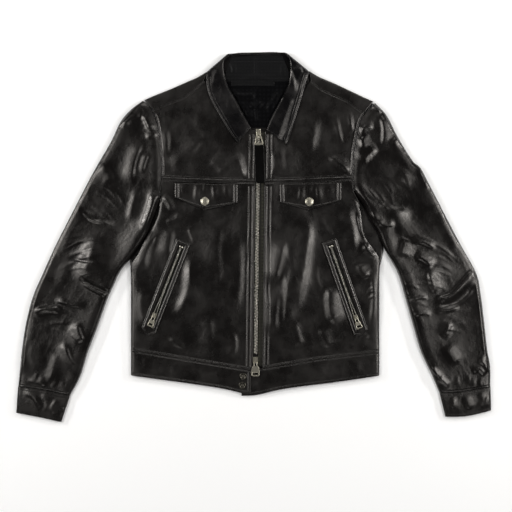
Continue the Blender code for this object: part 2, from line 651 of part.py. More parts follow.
# ---- Pockets ------------------------------------------------------------------------------------
def add_flap(side):
    """A pointed flap under the chest seam."""
    top_out, low_out, tip, low_in, top_in = [Vector(p) for p in FLAP[side]]
    low = [low_out.lerp(tip, s) for s in shares(4)] + [tip.lerp(low_in, s) for s in shares(4)[1:]]
    high = [top_out.lerp(top_in, s) for s in shares(8)]
    rows = [[a.lerp(b, v) for a, b in zip(low, high)] for v in (0, 0.33, 0.67, 1)]
    lift = (WALL + FLAP_WALL) / 2 + ON_TOP
    sheet(f"flap_{side}", raised(rows, lambda x, y: front_mid(x, y) + lift), thickness=FLAP_WALL)
    x, y = FLAP_SNAP[side]
    radius, height, clear = FLAP_CAP
    cap = turned_cap(f"flap_snap_{side}", radius, height, NICKEL)
    cap.location = Vector((x, y, front_mid(x, y) + lift + FLAP_WALL / 2 + clear)) * MM


def turned_cap(name, radius, height, look):
    """A round cap with a domed top: a turned outline."""
    points = [(0.0, height), (radius * 0.55, height * 0.94), (radius * 0.85, height * 0.72),
              (radius, height * 0.3), (radius, 0.0), (0.0, 0.0)]
    bm = bmesh.new()
    verts = [bm.verts.new((r * MM, 0, z * MM)) for r, z in points]
    for a, b in zip(verts, verts[1:]):
        bm.edges.new((a, b))
    mesh = bpy.data.meshes.new(name)
    bm.to_mesh(mesh)
    bm.free()
    obj = add_object(name, mesh, look)
    screw = obj.modifiers.new("turned", "SCREW")
    screw.axis = "Z"
    screw.angle = math.tau
    screw.steps = 20
    screw.render_steps = 20
    screw.use_merge_vertices = True
    screw.merge_threshold = 0.00001
    return obj


def welt_frame(side):
    """Ways along and across a pocket's slit, its upper end and its length."""
    top, bottom = Vector(WELT[side]["top"]), Vector(WELT[side]["bottom"])
    along = (bottom - top).normalized()
    across = Vector((-along.y, along.x))
    return top, along, across, (bottom - top).length


def pocket_slider_place(side):
    """Lower end, way down and ground height of a pocket's slider."""
    top, along, _across, length = welt_frame(side)
    place = top + along * (length - POCKET_SLIDER_BACK)
    ground = front_mid(place.x, place.y) + WALL / 2 + ON_TOP + POCKET_TAPE_WALL + SEAM_GAP
    return place, along, ground


def add_pocket(side):
    """A slanted pocket: welt with a slot, the zip in it, its slider and its pull."""
    top, along, across, length = welt_frame(side)
    lift = WALL / 2 + ON_TOP
    half, slot = WELT_WIDTH / 2, WELT_SLOT / 2
    lengths = [0, *(WELT_END + (length - 2 * WELT_END) * s for s in shares(7)), length]
    widths = [-half, -slot, slot, half]
    bm = bmesh.new()
    verts = []
    for d in lengths:
        row = []
        for w in widths:
            p = top + along * d + across * w
            row.append(bm.verts.new(Vector((p.x, p.y, front_mid(p.x, p.y) + lift + WELT_WALL / 2)) * MM))
        verts.append(row)
    for i in range(len(lengths) - 1):
        for j in range(3):
            if j == 1 and 0 < i < len(lengths) - 2:
                continue
            bm.faces.new((verts[i][j], verts[i][j + 1], verts[i + 1][j + 1], verts[i + 1][j]))
    bmesh.ops.recalc_face_normals(bm, faces=bm.faces)
    mesh = bpy.data.meshes.new(f"welt_{side}")
    bm.to_mesh(mesh)
    bm.free()
    add_wall(add_object(f"welt_{side}", mesh, LEATHER), WELT_WALL)

    width, start = slot - SEAM_GAP, WELT_END + 2 * SEAM_GAP
    rows = []
    for share in shares(8):
        middle = top + along * (start + (length - 2 * start) * share)
        points = [middle + across * w for w in (-width, 0, width)]
        rows.append([(p.x, p.y, front_mid(p.x, p.y) + lift + POCKET_TAPE_WALL / 2) for p in points])
    sheet(f"pocket_zip_{side}", rows, TAPE, POCKET_TAPE_WALL)

    place, way, ground = pocket_slider_place(side)
    add_slider(f"pocket_slider_{side}", place, way, ground, POCKET_SLIDER)
    add_pull(f"pocket_pull_{side}", PULLS[f"pocket_pull_{side}"])


# ---- Zip metal ----------------------------------------------------------------------------------
def place_matrix(point, along, height, tilt=0.0):
    """Puts a piece made along -Y at a point, turned so that it runs along a way."""
    turn = math.atan2(along.x, -along.y)
    return (Matrix.Translation(Vector((point.x, point.y, height)) * MM)
            @ Matrix.Rotation(turn, 4, "Z") @ Matrix.Rotation(math.radians(tilt), 4, "X"))


def box_mesh(name, size, centre, bevel=0.0):
    """A block with rounded edges."""
    bm = bmesh.new()
    bmesh.ops.create_cube(bm, size=1.0)
    bmesh.ops.scale(bm, vec=Vector(size) * MM, verts=bm.verts)
    bmesh.ops.translate(bm, vec=Vector(centre) * MM, verts=bm.verts)
    if bevel:
        bmesh.ops.bevel(bm, geom=bm.edges[:], offset=bevel * MM, segments=1, affect="EDGES")
    mesh = bpy.data.meshes.new(name)
    bm.to_mesh(mesh)
    bm.free()
    return mesh


def add_slider(name, lower_end, along, ground, size):
    """A slider: its body, and the bridge over it that holds the pull."""
    width, length, height = size
    block = box_mesh(name, (width, length, height), (0, length / 2, height / 2), SLIDER_BEVEL)
    body = add_object(name, block, NICKEL)
    tall, middle = ARCH_WINDOW + 1.0, height + ARCH_WINDOW / 2
    parts = [
        ((ARCH_WIDTH, length - 2 * ARCH_END, ARCH_BAR),
         (0, length / 2, height + ARCH_WINDOW + ARCH_BAR / 2)),
        ((ARCH_WIDTH, POST_HIGH, tall), (0, length - ARCH_END - POST_HIGH / 2, middle)),
        ((ARCH_WIDTH, POST_LOW, tall), (0, ARCH_END + POST_LOW / 2, middle)),
    ]
    for i, (block, centre) in enumerate(parts):
        cutter = add_object(f"{name}_bridge_{i}", box_mesh(f"{name}_bridge_{i}", block, centre), NICKEL,
                            "jacket_helpers")
        cutter.matrix_world = place_matrix(lower_end, along, ground)
        join = body.modifiers.new(f"bridge_{i}", "BOOLEAN")
        join.operation = "UNION"
        join.solver = "EXACT"
        join.object = cutter
    body.matrix_world = place_matrix(lower_end, along, ground)
    return body


def pull_outline(kind, width, length):
    """Outer line and holes of a pull, hanging along -Y from its axis at the origin."""
    half, arm = width / 2, EYE_HALF + EYE_ARM
    eye = [(-EYE_HALF, -PIN), (-EYE_HALF, -EYE_END), (EYE_HALF, -EYE_END), (EYE_HALF, -PIN)]
    if kind == "clip":
        outer = [(-arm, PIN), (-half * 0.7, -EYE_END), (-half, -length), (half, -length),
                 (half * 0.7, -EYE_END), (arm, PIN)]
        hole = [(-half * 0.55, -EYE_END - 2), (-half * 0.75, -length + 4), (half * 0.75, -length + 4),
                (half * 0.55, -EYE_END - 2)]
    else:
        outer = [(-arm, PIN), (-arm, -EYE_END + 1), (-half * 0.8, -EYE_END - 2), (-half, -length + 1.5),
                 (-half + 1.5, -length), (half - 1.5, -length), (half, -length + 1.5),
                 (half * 0.8, -EYE_END - 2), (arm, -EYE_END + 1), (arm, PIN)]
        hole = [(-half + 2.2, -length + 6.5), (-half + 2.2, -length + 2.4), (half - 2.2, -length + 2.4),
                (half - 2.2, -length + 6.5)]
    holes = [eye, hole]
    return outer, holes


def add_pull(name, spec):
    """A flat metal pull with its eye round the slider's bridge and a hole near its end."""
    outer, holes = pull_outline(spec["kind"], spec["width"], spec["length"])
    curve = bpy.data.curves.new(name, "CURVE")
    curve.dimensions = "2D"
    curve.fill_mode = "BOTH"
    curve.extrude = PULL_WALL / 2 * MM
    for points in [outer, *holes]:
        spline = curve.splines.new("POLY")
        spline.points.add(len(points) - 1)
        for target, p in zip(spline.points, points):
            target.co = (p[0] * MM, p[1] * MM, 0, 1)
        spline.use_cyclic_u = True
    obj = add_object(name, curve, NICKEL)
    obj.matrix_world = place_matrix(spec["axis_point"], spec["along"], spec["height"], spec["tilt"])
    return obj


def pull_spec(name, lower_end, along, ground, slider):
    """Where a pull's axis is, from its slider's place and size, with the pull's own sizes."""
    kind, width, length, slope = PULL_SIZES[name]
    return {"kind": kind, "axis_point": lower_end - along * PIN_BACK, "along": along, "width": width,
            "length": length, "height": ground + slider[2] + ARCH_WINDOW / 2, "tilt": slope}


def pull_specs():
    """All four pulls."""
    specs = {}
    for name, end, way in (("zip_clip_top", TOP_SLIDER_END, TOP_WAY),
                           ("zip_pull_bottom", BOTTOM_SLIDER_END, BOTTOM_WAY)):
        specs[name] = pull_spec(name, Vector(end), Vector(way).normalized(), FRONT_GROUND, FRONT_SLIDER)
    for side in ("left", "right"):
        place, along, ground = pocket_slider_place(side)
        specs[f"pocket_pull_{side}"] = pull_spec("pocket_pull", place, along, ground, POCKET_SLIDER)
    return specs


PULLS = pull_specs()


def add_front_zip():
    """Tapes, teeth, both sliders, the upper pull with its leather tab, and the lower pull."""
    for side, way in (("left", -1), ("right", 1)):
        heights = [TAPE_LOW_Y + (TAPE_HIGH_Y - TAPE_LOW_Y) * share for share in shares(8)]
        rows = [[(zip_x(y) + way * reach, y, TAPE_MID) for reach in (TAPE_NEAR, TAPE_FAR)] for y in heights]
        sheet(f"zip_tape_{side}", rows, TAPE, TAPE_WALL)
    low, high = ZIP_BOTTOM_Y - CHAIN_END, TOP_SLIDER_END[1] - 2 * SEAM_GAP
    heights = [low + (high - low) * share for share in shares(8)]
    rows = [[(zip_x(y) + reach, y, CHAIN_MID) for reach in (-ZIP_CHAIN / 2, ZIP_CHAIN / 2)] for y in heights]
    sheet("zip_chain", rows, NICKEL, CHAIN_WALL)

    for name, spec in (("zip_slider_top", PULLS["zip_clip_top"]),
                       ("zip_slider_bottom", PULLS["zip_pull_bottom"])):
        lower_end = spec["axis_point"] + spec["along"] * PIN_BACK
        add_slider(name, lower_end, spec["along"], FRONT_GROUND, FRONT_SLIDER)
    add_pull("zip_clip_top", PULLS["zip_clip_top"])
    add_pull("zip_pull_bottom", PULLS["zip_pull_bottom"])

    spec = PULLS["zip_clip_top"]
    half, end = TAB_WIDTH / 2, TAB_START + TAB_LENGTH
    outline = [(-half + 1, -TAB_START), (-half, -TAB_START - 3), (-half, -end + 3), (-half + 2.5, -end),
               (half - 2.5, -end), (half, -end + 3), (half, -TAB_START - 3), (half - 1, -TAB_START)]
    tab = flat_outline("zip_tab_top", outline, -TAB_WALL / 2, TAB_WALL / 2, COLLAR_LEATHER)
    tab.matrix_world = place_matrix(spec["axis_point"], spec["along"], spec["height"], spec["tilt"])


def add_band_snaps():
    """Two snaps that close the left band over the tab."""
    radius, height, clear = BAND_CAP
    for name, (x, y) in BAND_SNAPS.items():
        snap = turned_cap(f"band_snap_{name}", radius, height, DARK_NICKEL)
        snap.location = Vector((x, y, band_mid("left", x, y) + WALL / 2 + clear)) * MM


# ---- Scene --------------------------------------------------------------------------------------
def clear_scene():
    """Removes every object and collection of the open file."""
    for obj in list(bpy.data.objects):
        bpy.data.objects.remove(obj, do_unlink=True)
    for collection in list(bpy.data.collections):
        bpy.data.collections.remove(collection)


def main():
    """Builds the jacket."""
    clear_scene()
    for name in ("jacket", "jacket_helpers"):
        bpy.context.scene.collection.children.link(bpy.data.collections.new(name))
    add_back()
    add_back_yoke()
    for side in ("left", "right"):
        add_front(side)
        add_waistband(side)
        add_sleeve(side)
        add_flap(side)
        add_pocket(side)
    add_collar()
    add_neck()
    add_front_zip()
    add_band_snaps()


main()
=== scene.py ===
"""A glazed black leather zip jacket lying flat on its back: its looks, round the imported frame.

+Y runs to the collar, +Z up out of the fronts. "Left" and "right" are those of somebody looking down at
the fronts. Pattern sizes are written in millimetres and turned into metres where a mesh is made.
"""
from __future__ import annotations

import logging
import math
from contextlib import contextmanager
from dataclasses import dataclass
from enum import Enum
from typing import Callable, Iterable, Iterator, Sequence
import bmesh
import bpy
import numpy as np
from mathutils import Matrix, Vector


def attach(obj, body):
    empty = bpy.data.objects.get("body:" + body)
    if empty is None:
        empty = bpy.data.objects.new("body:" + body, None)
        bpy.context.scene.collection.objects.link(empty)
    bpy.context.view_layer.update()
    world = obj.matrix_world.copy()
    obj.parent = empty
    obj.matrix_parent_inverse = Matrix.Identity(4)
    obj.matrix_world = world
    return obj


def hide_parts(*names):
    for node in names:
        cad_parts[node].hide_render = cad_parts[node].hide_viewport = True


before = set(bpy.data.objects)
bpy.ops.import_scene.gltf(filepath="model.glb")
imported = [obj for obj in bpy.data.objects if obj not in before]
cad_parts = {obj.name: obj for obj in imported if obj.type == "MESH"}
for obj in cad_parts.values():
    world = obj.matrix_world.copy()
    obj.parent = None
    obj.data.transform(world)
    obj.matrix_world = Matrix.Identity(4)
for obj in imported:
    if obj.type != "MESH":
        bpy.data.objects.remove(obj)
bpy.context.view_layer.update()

log = logging.getLogger("jacket")

MM = 0.001
Points = Sequence[tuple[float, float]]
Height = Callable[[np.ndarray], np.ndarray]

# ---- Pattern, mm -------------------------------------------------------------------------------------
ARMHOLE = {
    "left": [(-179.5, 70), (-176.8, 106), (-176, 140), (-178.5, 170), (-183.5, 211),
             (-192.4, 240), (-201.7, 253.8), (-213.5, 262)],
    "right": [(193, 86), (190, 107), (191, 135), (193, 165), (199.8, 200),
              (206, 224), (219, 243), (234.5, 257.5)],
}
SLEEVE_OUTER = {
    "left": [(-453.4, -287.6), (-450.5, -260), (-446, -215), (-438, -165), (-426, -118), (-408, -75),
             (-380, -14), (-350, 45), (-310, 122), (-276, 181), (-256, 222), (-236, 245), (-213.5, 262)],
    "right": [(456.4, -288.5), (456, -250), (450, -215), (444, -160), (437, -105), (429, -70),
              (400, -17), (371, 38), (340, 98), (322, 132), (306, 147), (277, 194), (257, 233),
              (234.5, 257.5)],
}
SLEEVE_INNER = {
    "left": [(-352.8, -305.3), (-334, -269), (-319.5, -223), (-303, -180), (-283, -124), (-272, -99),
             (-256, -66), (-231, -36), (-205.5, 3), (-191, 37), (-179.5, 70)],
    "right": [(358, -300), (345, -269), (323.5, -223), (308, -172), (293, -119), (278, -70),
              (253, -26), (241, 4), (226, 29), (212, 58), (193, 86)],
}
BODY_SIDE = {
    "left": [(-236.4, -217), (-236.4, -150), (-236.4, -80), (-236, -54), (-223, -33), (-212, -11),
             (-195, 20), (-185.5, 42), (-179.5, 70)],
    "right": [(242.6, -220), (242.6, -150), (242.6, -80), (242.6, -42), (227, -17), (213, 4), (209, 38),
              (202, 66), (193, 86)],
}
BACK_SIDE = {
    "left": [(-233, -223), (-233, -150), (-233, -80), (-238, -48), (-228, -22), (-212, 6), (-197, 32),
             (-183, 68)],
    "right": [(239, -226), (239, -150), (239, -80), (247, -44), (250, -16), (240, 12), (222, 44),
              (196, 84)],
}
SHOULDER_SEAM = {
    "left": [(-194, 244.5), (-174.7, 252.4), (-155.5, 259.6), (-136, 268), (-116, 282), (-96, 300)],
    "right": [(214.0, 238.2), (200, 247), (184, 258.5), (167, 267), (131, 284), (111, 301)],
}
SHOULDER_FOLD = {
    "left": [(-210.5, 263), (-192, 271), (-160, 284), (-118.7, 302), (-95, 312)],
    "right": [(231, 260), (205.5, 271.5), (161, 292.5), (125, 308), (111.5, 314)],
}
NECKLINE = {
    "left": [(-96, 300), (-74, 266), (-44, 232), (-12, 204)],
    "right": [(111, 301), (88, 266), (58, 232), (30, 202)],
}
BACK_NECK = [(-91, 313), (-84, 304.5), (-62, 301.5), (8, 300), (76, 301.8), (98, 305.5), (107.5, 314.5)]
CHEST_SEAM = {"left": [(-176.8, 106), (-120, 103.5), (-60, 101.5), (3.5, 100.5)],
              "right": [(21.5, 100.5), (80, 102), (140, 105), (190, 107)]}
BAND_TOP = {
    "left": [(-236.4, -217), (-160, -229.5), (-80, -243), (-1, -256.5)],
    "right": [(16.5, -253), (60, -245.5), (111, -236.5), (182, -227.5), (242.6, -220)],
}
BAND_BOTTOM = {
    "left": [(-236.4, -267), (-222, -269.5), (-136, -281), (-61, -292.4), (-24, -301), (-5, -303.5)],
    "right": [(-23, -307), (7, -305), (61, -293), (153, -281), (232, -269.5), (242.6, -267)],
}
CUFF = {
    "left": {"seam": [(-453.4, -287.6), (-406.3, -294.3), (-352.8, -305.3)],
             "hem": [(-457.2, -339.3), (-410.1, -348.4), (-370.2, -357.2)]},
    "right": {"seam": [(456.4, -288.5), (400.5, -298), (358, -300)],
              "hem": [(457.8, -335), (411.3, -345.7), (369.6, -347.2)]},
}
FLAP = {
    "left": [(-151.5, 102), (-151.5, 74.3), (-95.5, 50.2), (-30, 63.7), (-30, 99.6)],
    "right": [(49.5, 99.8), (51, 64.7), (106.2, 50.2), (168.9, 68.5), (168.9, 103.3)],
}
FLAP_SNAP = {"left": (-93.6, 67.2), "right": (107.1, 66.6)}
WELT = {"left": ((-134.5, -8.5), (-201.5, -180.5)), "right": ((144.5, -7.5), (206.5, -184.5))}
BAND_SNAPS = {"upper": (-19.9, -269.2), "lower": (-21.6, -286.6)}
COLLAR_ROLL = {
    "left": [(-5, 208.6), (-17, 230.6), (-36, 266), (-50, 291), (-57, 318), (-57.5, 336), (-50, 350)],
    "right": [(25.5, 204.6), (34, 227.5), (53, 264), (67, 291), (71, 318), (70.5, 338), (63, 352.5)],
}
COLLAR_EDGE = {
    "left": [(-31, 180.8), (-45, 199), (-78, 254.6), (-88.8, 285), (-90.5, 315)],
    "right": [(64.1, 176), (72, 200), (91.7, 264), (102.7, 302), (107, 316.5)],
}
ROLL_BACK = [(-50, 350), (-44, 352.6), (3, 353.8), (56, 354.8), (63, 352.5)]
FALL_EDGE = [(-90.5, 315), (-76, 309), (-40, 305), (8, 304.3), (54, 305.3), (90, 311), (107, 316.5)]
BACK_YOKE_SEAM_Y = 200.0
BACK_SEAM_END = {"left": -181.0, "right": 198.6}
BACK_HEM = [(-233, -223), (8, -238), (239, -226)]
BACK_BAND_BOTTOM = [(-233, -266), (-120, -273), (8, -276), (120, -273), (239, -266)]
STAND_LOW = [(-60, 298.5), (8, 297.6), (76, 299)]
STAND_HIGH = [(-44, 345), (3, 348.5), (56, 347)]
BAND_END, TAB_END = -5.0, -23.0
ZIP_BOTTOM_Y = -227.0

WALL = 1.6               # drawn thickness of shell leather and lining
SEAM_GAP = 0.3
UNDER_MID = 1.0          # middle of the layer that lies on the ground
LEAF_MID, FALL_MID = 9.3, 1.25
COLLAR_WALL = 2.4
FAR = 50.0               # a distance that means "no stitches near"
SWELL = (0.16, 2.3, 1.2)     # leather beside stitches swells: height, distance from them, half width
GROOVE = (0.42, 0.95)        # the groove that stitches pull into it: depth, half width
ZIP_ROWS = (4.2, 11.5)       # the rows of stitches beside the zip, from the leather's edge
SEAM_ROWS = (1.9, 8.6)       # the rows of stitches on the chest seam's allowance
EDGE_ROW = 2.2               # the row of stitches beside an armhole, a shoulder seam and the hem
FLAP_CAP, BAND_CAP, STOP_CAP = (8.5, 2.9), (7.4, 2.4), (1.9, 2.2)    # snaps and stops: radius, height

# Height of the fronts' outer face: full, and how much lower it lies beside the zip, at the hem and at the
# shoulders. Then its height at the folded sides, how much higher that is where a sleeve is tucked under
# them, and the soft ridge just inside them.
FRONT_FULL, ZIP_DROP, HEM_DROP, SHOULDER_DROP = 9.4, 3.4, 2.0, 1.2
SIDE_LOW, SIDE_LIFT, SIDE_RIDGE = 2.6, 2.0, 0.8
SLEEVE_LIFT = 2.7         # how far a sleeve is lifted where it lies on the back panel's edge


class Side(Enum):
    """The two halves of the jacket."""

    LEFT = "left"
    RIGHT = "right"

    @property
    def out(self) -> float:
        """-1 or 1: the way along X that leads away from the zip."""
        return -1.0 if self is Side.LEFT else 1.0


# ---- Plane geometry ----------------------------------------------------------------------------------
def smooth(low: float, high: float, value: np.ndarray | float) -> np.ndarray:
    """0 below low, 1 above high, and an S-curve between them."""
    t = np.clip((np.asarray(value, float) - low) / (high - low), 0.0, 1.0)
    return t * t * (3 - 2 * t)


def line_through(points: Points, steps: int = 8) -> np.ndarray:
    """A smooth line through a few points.

    Args:
        points: Corners that the line passes through.
        steps: How many stretches each gap between two corners gets.

    Returns:
        The line as rows of x, y.
    """
    pts = np.asarray(points, float)
    if len(pts) == 2:
        return pts[0] + (pts[1] - pts[0]) * np.linspace(0, 1, steps + 1)[:, None]
    ends = np.vstack([2 * pts[0] - pts[1], pts, 2 * pts[-1] - pts[-2]])
    t = (np.arange(steps) / steps)[:, None]
    runs = []
    for p0, p1, p2, p3 in zip(ends, ends[1:], ends[2:], ends[3:]):
        runs.append(0.5 * (2 * p1 + (p2 - p0) * t + (2 * p0 - 5 * p1 + 4 * p2 - p3) * t ** 2
                           + (3 * p1 - p0 - 3 * p2 + p3) * t ** 3))
    return np.vstack(runs + [pts[-1:]])


def at_lengths(line: np.ndarray, shares: Iterable[float]) -> np.ndarray:
    """Points of a line at these shares of its length."""
    sums = np.concatenate([[0.0], np.cumsum(np.linalg.norm(np.diff(line, axis=0), axis=1))])
    targets = np.asarray(list(shares)) * sums[-1]
    return np.column_stack([np.interp(targets, sums, line[:, k]) for k in range(line.shape[1])])


def moved(line: np.ndarray, distance: float) -> np.ndarray:
    """The line moved sideways: to its left, as it runs, where distance is above 0."""
    way = np.gradient(line, axis=0)
    way /= np.linalg.norm(way, axis=1)[:, None] + 1e-12
    return line + np.column_stack([-way[:, 1], way[:, 0]]) * distance


def length_of(line: np.ndarray) -> float:
    """Length of a line."""
    return float(np.linalg.norm(np.diff(line, axis=0), axis=1).sum())


def nearest(line: np.ndarray, places: np.ndarray) -> tuple[np.ndarray, np.ndarray, np.ndarray]:
    """Where places lie beside a line.

    Args:
        line: Rows of x, y.
        places: Rows of x, y.

    Returns:
        The distance, the share of the line's length at the foot, and the side: 1 on its left, -1 right.
    """
    best = np.full(len(places), 1e9)
    share = np.zeros(len(places))
    side = np.ones(len(places))
    steps = np.linalg.norm(np.diff(line, axis=0), axis=1)
    total, run = steps.sum(), 0.0
    for a, b, step in zip(line, line[1:], steps):
        if step < 1e-9:
            continue
        way = (b - a) / step
        rel = places - a
        foot = np.clip(rel @ way, 0.0, step)
        off = rel - foot[:, None] * way
        d = np.hypot(off[:, 0], off[:, 1])
        near = d < best
        best[near] = d[near]
        share[near] = (run + foot[near]) / total
        side[near] = np.where(way[0] * rel[near, 1] - way[1] * rel[near, 0] >= 0, 1.0, -1.0)
        run += step
    return best, share, side


def spread(total: float, step: float, fine: float = 1.0, reach: float = 12.0) -> np.ndarray:
    """Shares from 0 to 1 along a length: fine steps near both ends, where seams and folds are."""
    if total < 2.6 * reach:
        return np.linspace(0, 1, max(5, round(total / fine)) + 1)
    ends = np.linspace(0, reach, round(reach / fine) + 1)
    middle = np.linspace(reach, total - reach, max(3, round((total - 2 * reach) / step)) + 1)[1:-1]
    return np.concatenate([ends, middle, total - ends[::-1]]) / total


def coons(low: np.ndarray, high: np.ndarray, west: np.ndarray, east: np.ndarray, step: float,
          fine: float = 1.0) -> np.ndarray:
    """The patch inside four lines.

    Args:
        low: Its lower line, from west to east.
        high: Its upper line.
        west: Its west line, from low to high.
        east: Its east line.
        step: How far apart points are in its middle, mm.
        fine: How far apart they are along its edges, mm.

    Returns:
        Rows from low to high, with columns from west to east.
    """
    us = spread(max(length_of(low), length_of(high)), step, fine)
    vs = spread(max(length_of(west), length_of(east)), step, fine)
    low, high = at_lengths(low, us), at_lengths(high, us)
    west, east = at_lengths(west, vs), at_lengths(east, vs)
    u, v = us[None, :, None], vs[:, None, None]
    corners = (low[0] * (1 - u) + low[-1] * u) * (1 - v) + (high[0] * (1 - u) + high[-1] * u) * v
    return low[None] * (1 - v) + high[None] * v + west[:, None] * (1 - u) + east[:, None] * u - corners


def patch(low: np.ndarray, high: np.ndarray, step: float, fine: float = 1.0) -> np.ndarray:
    """The patch between two lines, with straight ends."""
    return coons(low, high, np.array([low[0], high[0]]), np.array([low[-1], high[-1]]), step, fine)


def hash_noise(places: np.ndarray, size: float, seed: int) -> np.ndarray:
    """Smooth random heights from -1 to 1, whose hills are about size apart."""
    grid = np.random.default_rng(seed).uniform(-1, 1, (128, 128))
    p = places / size + 512.37
    cell = np.floor(p).astype(int)
    f = p - cell
    f = f * f * (3 - 2 * f)
    x0, y0 = cell[:, 0] % 128, cell[:, 1] % 128
    x1, y1 = (x0 + 1) % 128, (y0 + 1) % 128
    low = grid[x0, y0] * (1 - f[:, 0]) + grid[x1, y0] * f[:, 0]
    high = grid[x0, y1] * (1 - f[:, 0]) + grid[x1, y1] * f[:, 0]
    return low * (1 - f[:, 1]) + high * f[:, 1]


@dataclass(frozen=True)
class Fold:
    """A fold: a soft ridge along a line, or a trough where its rise is below 0.

    Args:
        points: The line that it follows, mm.
        width: Half its width, mm.
        rise: Its height, mm.
        lean: From -1 to 1: which side of the line is the steeper one.
        fade: Share of its length over which each end dies away.
    """

    points: Points
    width: float
    rise: float
    lean: float = 0.4
    fade: float = 0.3

    def heights(self, places: np.ndarray) -> np.ndarray:
        """What the fold adds at each place."""
        line = line_through(self.points, 5)
        out = np.zeros(len(places))
        reach = 4.4 * self.width
        low, high = line.min(axis=0) - reach, line.max(axis=0) + reach
        inside = np.all((places > low) & (places < high), axis=1)
        if not inside.any():
            return out
        d, share, side = nearest(line, places[inside])
        width = self.width * (1 + 0.85 * self.lean * side)
        taper = smooth(0, self.fade, share) * smooth(0, self.fade, 1 - share) if self.fade else 1.0
        out[inside] = self.rise * np.exp(-(d / width) ** 2) * taper
        return out


def folded(folds: Sequence[Fold], places: np.ndarray) -> np.ndarray:
    """All folds together."""
    out = np.zeros(len(places))
    for fold in folds:
        out += fold.heights(places)
    return out


def ripples(middle: tuple[float, float], way: float, length: float, gap: float, count: int,
            rise: float = 0.9, bow: float = 0.12, seed: int = 1) -> list[Fold]:
    """A ladder of thin uneven creases side by side, as leather gathers where it is bent.

    Args:
        middle: Middle of the ladder, mm.
        way: The way that the creases run, degrees from +X.
        length: Of a crease, mm.
        gap: From crease to crease, mm.
        count: How many.
        rise: Their height, mm.
        bow: How far each bends, as a share of its length.
        seed: Which unevenness.

    Returns:
        The creases.
    """
    rng = np.random.default_rng(seed)
    a = math.radians(way)
    along, across = np.array([math.cos(a), math.sin(a)]), np.array([-math.sin(a), math.cos(a)])
    made = []
    for k in range(count):
        reach = length * rng.uniform(0.3, 0.55)
        at = np.array(middle) + across * (gap * (k - (count - 1) / 2 + rng.uniform(-0.3, 0.3)))
        at = at + along * length * rng.uniform(-0.16, 0.16)
        tilt = across * reach * rng.uniform(-0.25, 0.25)
        bend = across * length * bow * rng.uniform(0.3, 1.0)
        line = [tuple(at - along * reach - tilt), tuple(at + bend), tuple(at + along * reach + tilt)]
        made.append(Fold(line, gap * rng.uniform(0.25, 0.42), rise * rng.uniform(0.5, 1.1), fade=0.45))
    return made


def rolled(distance: np.ndarray, reach: float, power: float = 2.0) -> np.ndarray:
    """A quarter round: 0 at a folded edge and 1 from reach inwards; squarer with a higher power."""
    t = np.clip(distance / reach, 0.0, 1.0)
    return (1 - (1 - t) ** power) ** (1 / power)


def stretched(places: np.ndarray, along: float, stretch: float) -> np.ndarray:
    """Places turned and squeezed, so that noise on them runs longer along a way in degrees."""
    a = math.radians(along)
    turn = np.array([[math.cos(a), -math.sin(a)], [math.sin(a), math.cos(a)]])
    return (places @ turn) / np.array([stretch, 1.0])


def crumple(places: np.ndarray, along: float, seed: int) -> np.ndarray:
    """The small creases of worn leather: thin soft ridges, longer along one way.

    Args:
        places: Rows of x, y, mm.
        along: The way, in degrees from +X, along which the creases run.
        seed: Which creases.

    Returns:
        Heights of about 0 to 1.
    """
    p = stretched(places, along, 1.9)
    warp = np.column_stack([hash_noise(p, 40, seed + 5), hash_noise(p, 40, seed + 6)]) * 9
    total = np.zeros(len(places))
    for size, share in ((34, 0.5), (19, 0.32), (11, 0.18)):
        total += share * (1 - np.abs(hash_noise(p + warp, size, seed + int(size)))) ** 3
    return total


def drape(places: np.ndarray, along: float, seed: int) -> np.ndarray:
    """The slow waves that loose leather lies in, from about -1 to 1, longer along one way in degrees."""
    p = stretched(places, along, 2.1)
    warp = np.column_stack([hash_noise(p, 90, seed + 1), hash_noise(p, 90, seed + 2)]) * 26
    return 0.68 * hash_noise(p + warp, 52, seed) + 0.32 * hash_noise(p + warp, 27, seed + 3)


# ---- Finishes ----------------------------------------------------------------------------------------
def linear(code: str) -> tuple[float, float, float, float]:
    """An sRGB hex colour as linear RGBA."""
    parts = [int(code[i:i + 2], 16) / 255 for i in (1, 3, 5)]
    red, green, blue = (c / 12.92 if c <= 0.04045 else ((c + 0.055) / 1.055) ** 2.4 for c in parts)
    return red, green, blue, 1.0


def add_node(tree: bpy.types.NodeTree, kind: str, links: dict | None = None, values: dict | None = None,
             **settings: object) -> bpy.types.Node:
    """Adds a node.

    Args:
        tree: The tree that gets it.
        kind: The node's type name.
        links: Output sockets to link, by the name or number of the input that takes each.
        values: Constant values by the name or number of their input.
        settings: The node's own properties.

    Returns:
        The new node.
    """
    node = tree.nodes.new(kind)
    for name, value in settings.items():
        setattr(node, name, value)
    for name, value in (values or {}).items():
        node.inputs[name].default_value = value
    for name, socket in (links or {}).items():
        tree.links.new(socket, node.inputs[name])
    return node


class Finish:
    """A finish: makes its material once and keeps it."""

    _made: dict[str, bpy.types.Material] = {}

    def material(self) -> bpy.types.Material:
        """The finish's material."""
        if self.name not in Finish._made:
            made = bpy.data.materials.new(self.name)
            made.use_nodes = True
            made.node_tree.nodes.clear()
            self.build(made.node_tree)
            Finish._made[self.name] = made
        return Finish._made[self.name]

    def build(self, tree: bpy.types.NodeTree) -> None:
        """Fills the material's node tree."""
        raise NotImplementedError

    @staticmethod
    def end(tree: bpy.types.NodeTree, shader: bpy.types.Node) -> None:
        """Joins the shader to the material's output."""
        add_node(tree, "ShaderNodeOutputMaterial", {"Surface": shader.outputs["BSDF"]})


